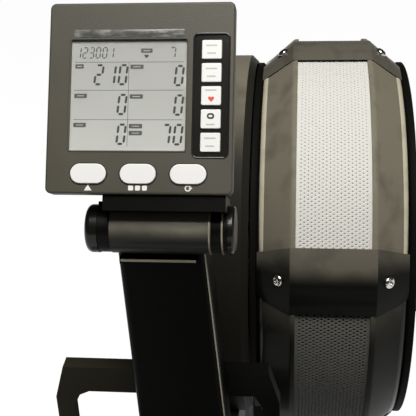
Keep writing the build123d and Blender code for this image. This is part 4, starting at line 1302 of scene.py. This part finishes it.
@dataclass
class FootDressing:
    """Toe straps and treads of the footplates."""

    body: str = "frame"
    strap_half: float = 50.8
    strap_rise: float = 76.7
    strap_band: float = 38.0
    strap_wall: float = 1.8
    strap_y: float = 62.0
    strap_steps: int = 28
    crown: float = 0.86
    ripple: float = 0.008
    ripples: int = 5
    ribs: int = 7
    wide_ribs: int = 5
    rib_lengths: Flat = (96.0, 84.0)
    rib_width: float = 4.0
    rib_height: float = 1.6
    rib_edge: float = 0.5
    rib_lift: float = 0.6
    rib_y: float = 50.0
    rib_step: float = 15.0

    def strap(self, side: int, word: str) -> None:
        """One webbing strap arched over the toes.

        Args:
            side: minus one for the left foot.
            word: left or right.
        """
        piece = Piece(f"toe_strap_{word}")
        bm = piece.bm
        verts = []
        for step in range(self.strap_steps + 1):
            turn = math.pi * step / self.strap_steps
            wave = 1.0 + self.ripple * math.sin(self.ripples * turn)
            x = -self.strap_half * math.cos(turn) * wave
            z = self.strap_rise * math.sin(turn) ** self.crown * wave
            verts.append(bm.verts.new((x * MM, -self.strap_band / 2 * MM, z * MM)))
        edges = [bm.edges.new(pair) for pair in zip(verts, verts[1:])]
        grown = bmesh.ops.extrude_edge_only(bm, edges=edges)
        moved = [g for g in grown["geom"] if isinstance(g, bmesh.types.BMVert)]
        bmesh.ops.translate(bm, vec=(0, self.strap_band * MM, 0), verts=moved)
        place = LAYOUT.foot(side) @ shift(0, self.strap_y, 0)
        bmesh.ops.transform(bm, matrix=place, verts=bm.verts[:])
        obj = piece.place(self.body, Finishes.webbing, "webbing", (f"foot_strap_{word}",), angle=60.0)
        thicken(obj, "webbing", self.strap_wall, 0.0)

    def tread(self, side: int, word: str) -> None:
        """Raised ribs on a footplate above the heel cup's reach.

        Args:
            side: minus one for the left foot.
            word: left or right.
        """
        piece = Piece(f"tread_{word}")
        wide, narrow = self.rib_lengths
        for row in range(self.ribs):
            place = LAYOUT.foot(side) @ shift(0, self.rib_y + self.rib_step * row, self.rib_lift)
            length = wide if row < self.wide_ribs else narrow
            piece.block((length, self.rib_width, self.rib_height), place, self.rib_edge)
        piece.place(self.body, Finishes.plastic, "black_plastic")

    def build(self) -> None:
        """Dresses both feet."""
        for side, word in SIDES:
            self.strap(side, word)
            self.tread(side, word)


@dataclass
class HandleDressing:
    """Pull strap and grip rings of the handle."""

    strap_cells: Tuple[int, int] = (60, 4)
    strap_wall: float = 1.5
    grip_lean: float = 8.0
    grip_back: float = 475.0
    grip_start: float = 70.0
    ring_reaches: Tuple[float, ...] = (10.0, 16.0, 150.0, 156.0)
    ring: Profile = ((16.8, -1.6), (17.8, -0.9), (17.8, 0.9), (16.8, 1.6))

    def strap(self) -> None:
        """The webbing from spool to handle, a thin strip that fills the plain strap's box."""
        low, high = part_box("pull_strap")
        piece = Piece("pull_webbing")
        bm = piece.bm
        along, across = self.strap_cells
        bmesh.ops.create_grid(bm, x_segments=along, y_segments=across, size=0.5)
        bmesh.ops.scale(bm, vec=(high[0] - low[0], high[1] - low[1], 1), verts=bm.verts[:])
        bmesh.ops.translate(bm, vec=[(a + b) / 2 for a, b in zip(low, high)], verts=bm.verts[:])
        obj = piece.place(None, Finishes.webbing, "webbing", ("pull_strap",), angle=60.0)
        thicken(obj, "webbing", self.strap_wall, 0.0)
        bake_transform(obj)

    def grips(self) -> None:
        """Rings near both ends of each grip."""
        rings = Piece("grip_rings")
        lean = math.radians(self.grip_lean)
        up = Vector((0, 0, 1))
        for side, _ in SIDES:
            along = Vector((math.sin(lean), side * math.cos(lean), 0.0))
            for reach in self.ring_reaches:
                x = LAYOUT.fan_x + self.grip_back + reach * along.x
                y = side * self.grip_start + reach * along.y
                place = basis((x, y, LAYOUT.strap_mid), up, along.cross(up))
                rings.lathe(self.ring, place, 48)
        rings.place("handle", Finishes.foam, "grip_foam", angle=60.0)

    def build(self) -> None:
        """Dresses the handle."""
        self.strap()
        self.grips()


@dataclass
class FrameDressing:
    """Wheel hubs, tube rings and pale edges of the steel frame: wear on the rings, painted highlights on the
    mast.
    """

    wheel: Point = (-1081.1, 234.0, 38.0)
    hub_face: float = 10.6
    hub: Profile = ((9.0, 0.0), (22.0, 0.0), (23.0, 0.6), (21.0, 0.9), (12.0, 0.5), (9.0, 0.7))
    tube_ring_y: float = 30.2
    ear_ring_y: float = 41.0
    ring: Profile = ((20.3, -0.9), (21.5, -0.6), (21.5, 0.6), (20.3, 0.9))
    mast_back: float = 435.0
    lip_size: Point = (0.8, 66.0, 2.6)
    lip_y: float = -16.2
    lip_out: float = 5.0
    lip_drop: float = 26.1
    lip_edge: float = 0.3
    corner_width: float = 1.3
    corner_edge: float = 0.4
    corner_inset: float = 1.4
    corner_top: Flat = (23.6, 807.0)
    corner_foot: Flat = (48.6, 421.0)

    def hubs(self) -> None:
        """Dished hub caps on the transport wheels."""
        x, y, z = self.wheel
        for side, word in SIDES:
            piece = Piece(f"wheel_hub_{word}")
            for face in (-1, 1):
                place = basis((x, side * y + face * self.hub_face, z), (0, 0, 1), (face, 0, 0))
                piece.lathe(self.hub, place, 48)
            piece.place(f"transport_wheel_{word}", Finishes.plastic, "black_rubber", angle=50.0)

    def tube_rings(self) -> None:
        """Bright rings at the right end of the pivot tube and on the ear beside it."""
        x, z = LAYOUT.fan_x + LAYOUT.pivot_back, LAYOUT.fan_z + LAYOUT.pivot_rise
        for name, y, body in (
            ("tube_ring", self.tube_ring_y, "frame"),
            ("ear_ring", self.ear_ring_y, "console"),
        ):
            ring = Piece(name)
            ring.lathe(self.ring, basis((x, y, z), (0, 0, 1), (1, 0, 0)), 64)
            ring.place(body, Finishes.wear_and_highlight, "tube_paint", angle=60.0)

    def mast_edges(self) -> None:
        """Pale strips on the mast's lip and right rear corner, as painted highlights."""
        edge = Piece("mast_edges")
        rear = LAYOUT.fan_x + self.mast_back
        lip = LAYOUT.fan_z + LAYOUT.pivot_rise - self.lip_drop
        edge.block(self.lip_size, shift(rear + self.lip_out, self.lip_y, lip), self.lip_edge)
        top = Vector((rear - self.corner_inset, *self.corner_top))
        foot = Vector((rear - self.corner_inset, *self.corner_foot))
        run = top - foot
        place = basis(tuple((top + foot) / 2), (1, 0, 0), tuple(run))
        edge.block((self.corner_width, run.length, self.corner_width), place, self.corner_edge)
        edge.place("frame", Finishes.wear_and_highlight, "frame_paint")

    def build(self) -> None:
        """Dresses the frame."""
        self.hubs()
        self.tube_rings()
        self.mast_edges()


class NodeFinishes:
    """Finishes of the CAD nodes that stay in view."""

    nodes: Tuple[Tuple[Finish, Tuple[str, ...]], ...] = (
        (Finishes.console, ("console_front", "console_back")),
        (Finishes.housing, ("fan_shell_left", "fan_shell_right")),
        (Finishes.cover, ("drive_cover",)),
        (Finishes.clip, ("cross_clips",)),
        (
            Finishes.plastic,
            (
                "strap_spool", "strap_guide", "guide_roller", "footplate_left", "footplate_right",
                "heel_cup_left", "heel_cup_right", "strap_buckles", "seat_pan", "damper_ring",
            ),
        ),
        (Finishes.tube, ("pivot_tube",)),
        (Finishes.cap, ("pivot_pin",)),
        (Finishes.yoke, ("console_yoke",)),
        (Finishes.paint, ("mast", "fork_plates")),
        (Finishes.frame, ("main_beam", "front_foot", "rear_leg", "foot_crossbar", "seat_carriage")),
        (Finishes.rest, ("handle_rest",)),
        (Finishes.rubber, ("foot_caps", "rail_stops", "wheel_left", "wheel_right")),
        (Finishes.foam, ("handle_grips",)),
        (Finishes.steel, ("frame_bolts", "shaft_bearings", "fan_shaft", "rail_strips")),
        (Finishes.alloy, ("rail",)),
        (Finishes.blade, ("fan_rotor",)),
        (Finishes.nylon, ("front_rollers", "rear_rollers")),
        (Finishes.handle, ("handle_bar", "handle_clip")),
        (Finishes.screen, ("lcd_panel",)),
        (Finishes.lens, ("lcd_window",)),
        (Finishes.gloss, ("key_panel",)),
        (Finishes.key, ("key_1", "key_2", "key_3", "key_4", "key_5")),
        (Finishes.key, ("button_left", "button_middle", "button_right")),
    )

    def dress(self) -> None:
        """Gives every CAD node in view its finish."""
        for finish, names in self.nodes:
            for name in names:
                clad(frame["nodes"][name].data, finish)


@dataclass
class Studio:
    """Floor, lights and the camera of the photograph."""

    yaw: float = 6.664
    pitch: float = 27.687
    roll: float = -2.427
    focal: float = 900.0
    image: float = 416.0
    eye: Point = (166.7, 106.7, 1196.6)
    sensor: float = 36.0
    sight: float = 50.0
    floor_half: float = 14.0
    floor_tones: Flat = (0.01, 0.12)
    floor_glows: Flat = (0.004, 0.96)
    shadow_middle: Point = (-1.2, 0.04, 0.0)
    shadow_half: Point = (0.42, 0.26, 1.0)
    shadow_fade: Flat = (0.2, 1.0)
    warm: Colour = (1.0, 0.98, 0.935)
    sky: Colour = (0.9, 0.92, 0.95)
    sky_level: float = 0.035

    def camera(self) -> None:
        """Sets the photograph's viewpoint."""
        yaw, pitch, roll = (math.radians(v) for v in (self.yaw, self.pitch, self.roll))
        level = math.cos(pitch)
        ahead = Vector((-level * math.cos(yaw), -level * math.sin(yaw), -math.sin(pitch)))
        right = ahead.cross(Vector((0, 0, 1))).normalized()
        up = right.cross(ahead)
        turned_right = right * math.cos(roll) + up * math.sin(roll)
        turned_up = up * math.cos(roll) - right * math.sin(roll)
        data = bpy.data.cameras.new("photo_camera")
        data.sensor_width = self.sensor
        data.lens = self.focal / self.image * self.sensor
        data.clip_end = self.sight
        camera = bpy.data.objects.new("photo_camera", data)
        place = Matrix((turned_right, turned_up, -ahead)).transposed().to_4x4()
        camera.matrix_world = shift(*self.eye) @ place
        bpy.context.scene.collection.objects.link(camera)
        bpy.context.scene.camera = camera

    def floor(self) -> None:
        """A floor that reads white, apart from a soft shadow painted under the drum."""
        bm = bmesh.new()
        bmesh.ops.create_grid(bm, x_segments=1, y_segments=1, size=self.floor_half)
        floor = stored(bm, "floor")
        sheet = ShaderSheet("floor_white")
        surface = sheet.surface.inputs
        oval = {"Vector": sheet.place(), "Location": self.shadow_middle, "Scale": self.shadow_half}
        spot = sheet.node("ShaderNodeMapping", {"vector_type": "TEXTURE"}, oval)
        distance = sheet.node("ShaderNodeVectorMath", {"operation": "LENGTH"}, {0: spot}, "Value")
        clear = sheet.rise(distance, *self.shadow_fade)
        tone, glow = (
            sheet.blend(clear, (low, low, low, 1.0), (high, high, high, 1.0))
            for low, high in (self.floor_tones, self.floor_glows)
        )
        seen = sheet.node("ShaderNodeLightPath", {}, {}, "Is Camera Ray")
        for ray in ("Is Glossy Ray", "Is Transmission Ray"):
            seen = seen + sheet.node("ShaderNodeLightPath", {}, {}, ray)
        sheet.put(surface["Base Color"], tone)
        sheet.put(surface["Roughness"], 0.9)
        sheet.put(surface["Specular IOR Level"], 0.0)
        sheet.put(surface["Emission Strength"], 1.0)
        sheet.put(surface["Emission Color"], sheet.blend(seen, (0.0, 0.0, 0.0, 1.0), glow))
        floor.data.materials.append(sheet.material)

    def lamp(self, name: str, place: Point, target: Point, size: float, power: float) -> None:
        """Adds one soft, warm lamp.

        Args:
            name: the lamp's name.
            place: where it hangs, in metres.
            target: what it faces, in metres.
            size: its width in metres.
            power: watts.
        """
        data = bpy.data.lights.new(name, "AREA")
        data.size = size
        data.energy = power
        data.color = self.warm
        lamp = bpy.data.objects.new(name, data)
        aim = Vector(target) - Vector(place)
        turn = aim.to_track_quat("-Z", "Y").to_matrix().to_4x4()
        lamp.matrix_world = Matrix.Translation(place) @ turn
        bpy.context.scene.collection.objects.link(lamp)

    def lights(self) -> None:
        """A warm top light and weak fills."""
        self.lamp("top_light", (0.2, 0.25, 3.2), (-0.75, 0.1, 0.6), 1.4, 88.0)
        self.lamp("side_light", (0.2, 2.4, 1.6), (-0.6, 0.0, 0.7), 1.2, 3.0)
        world = bpy.data.worlds.new("studio")
        world.use_nodes = True
        background = world.node_tree.nodes["Background"].inputs
        background["Color"].default_value = (*self.sky, 1.0)
        background["Strength"].default_value = self.sky_level
        bpy.context.scene.world = world
        bpy.context.scene.view_settings.view_transform = "Standard"

    def build(self) -> None:
        """Sets the stage."""
        self.camera()
        self.floor()
        self.lights()


def main() -> None:
    """Builds the looks in order."""
    logging.basicConfig(level=logging.INFO, format="%(message)s")
    Studio().build()
    NodeFinishes().dress()
    frame_parts = (FootDressing(), HandleDressing(), FrameDressing())
    for part in (ConsoleDressing(), DrumDressing(), SeatDressing(), *frame_parts):
        part.build()


if __name__ == "__main__":
    main()
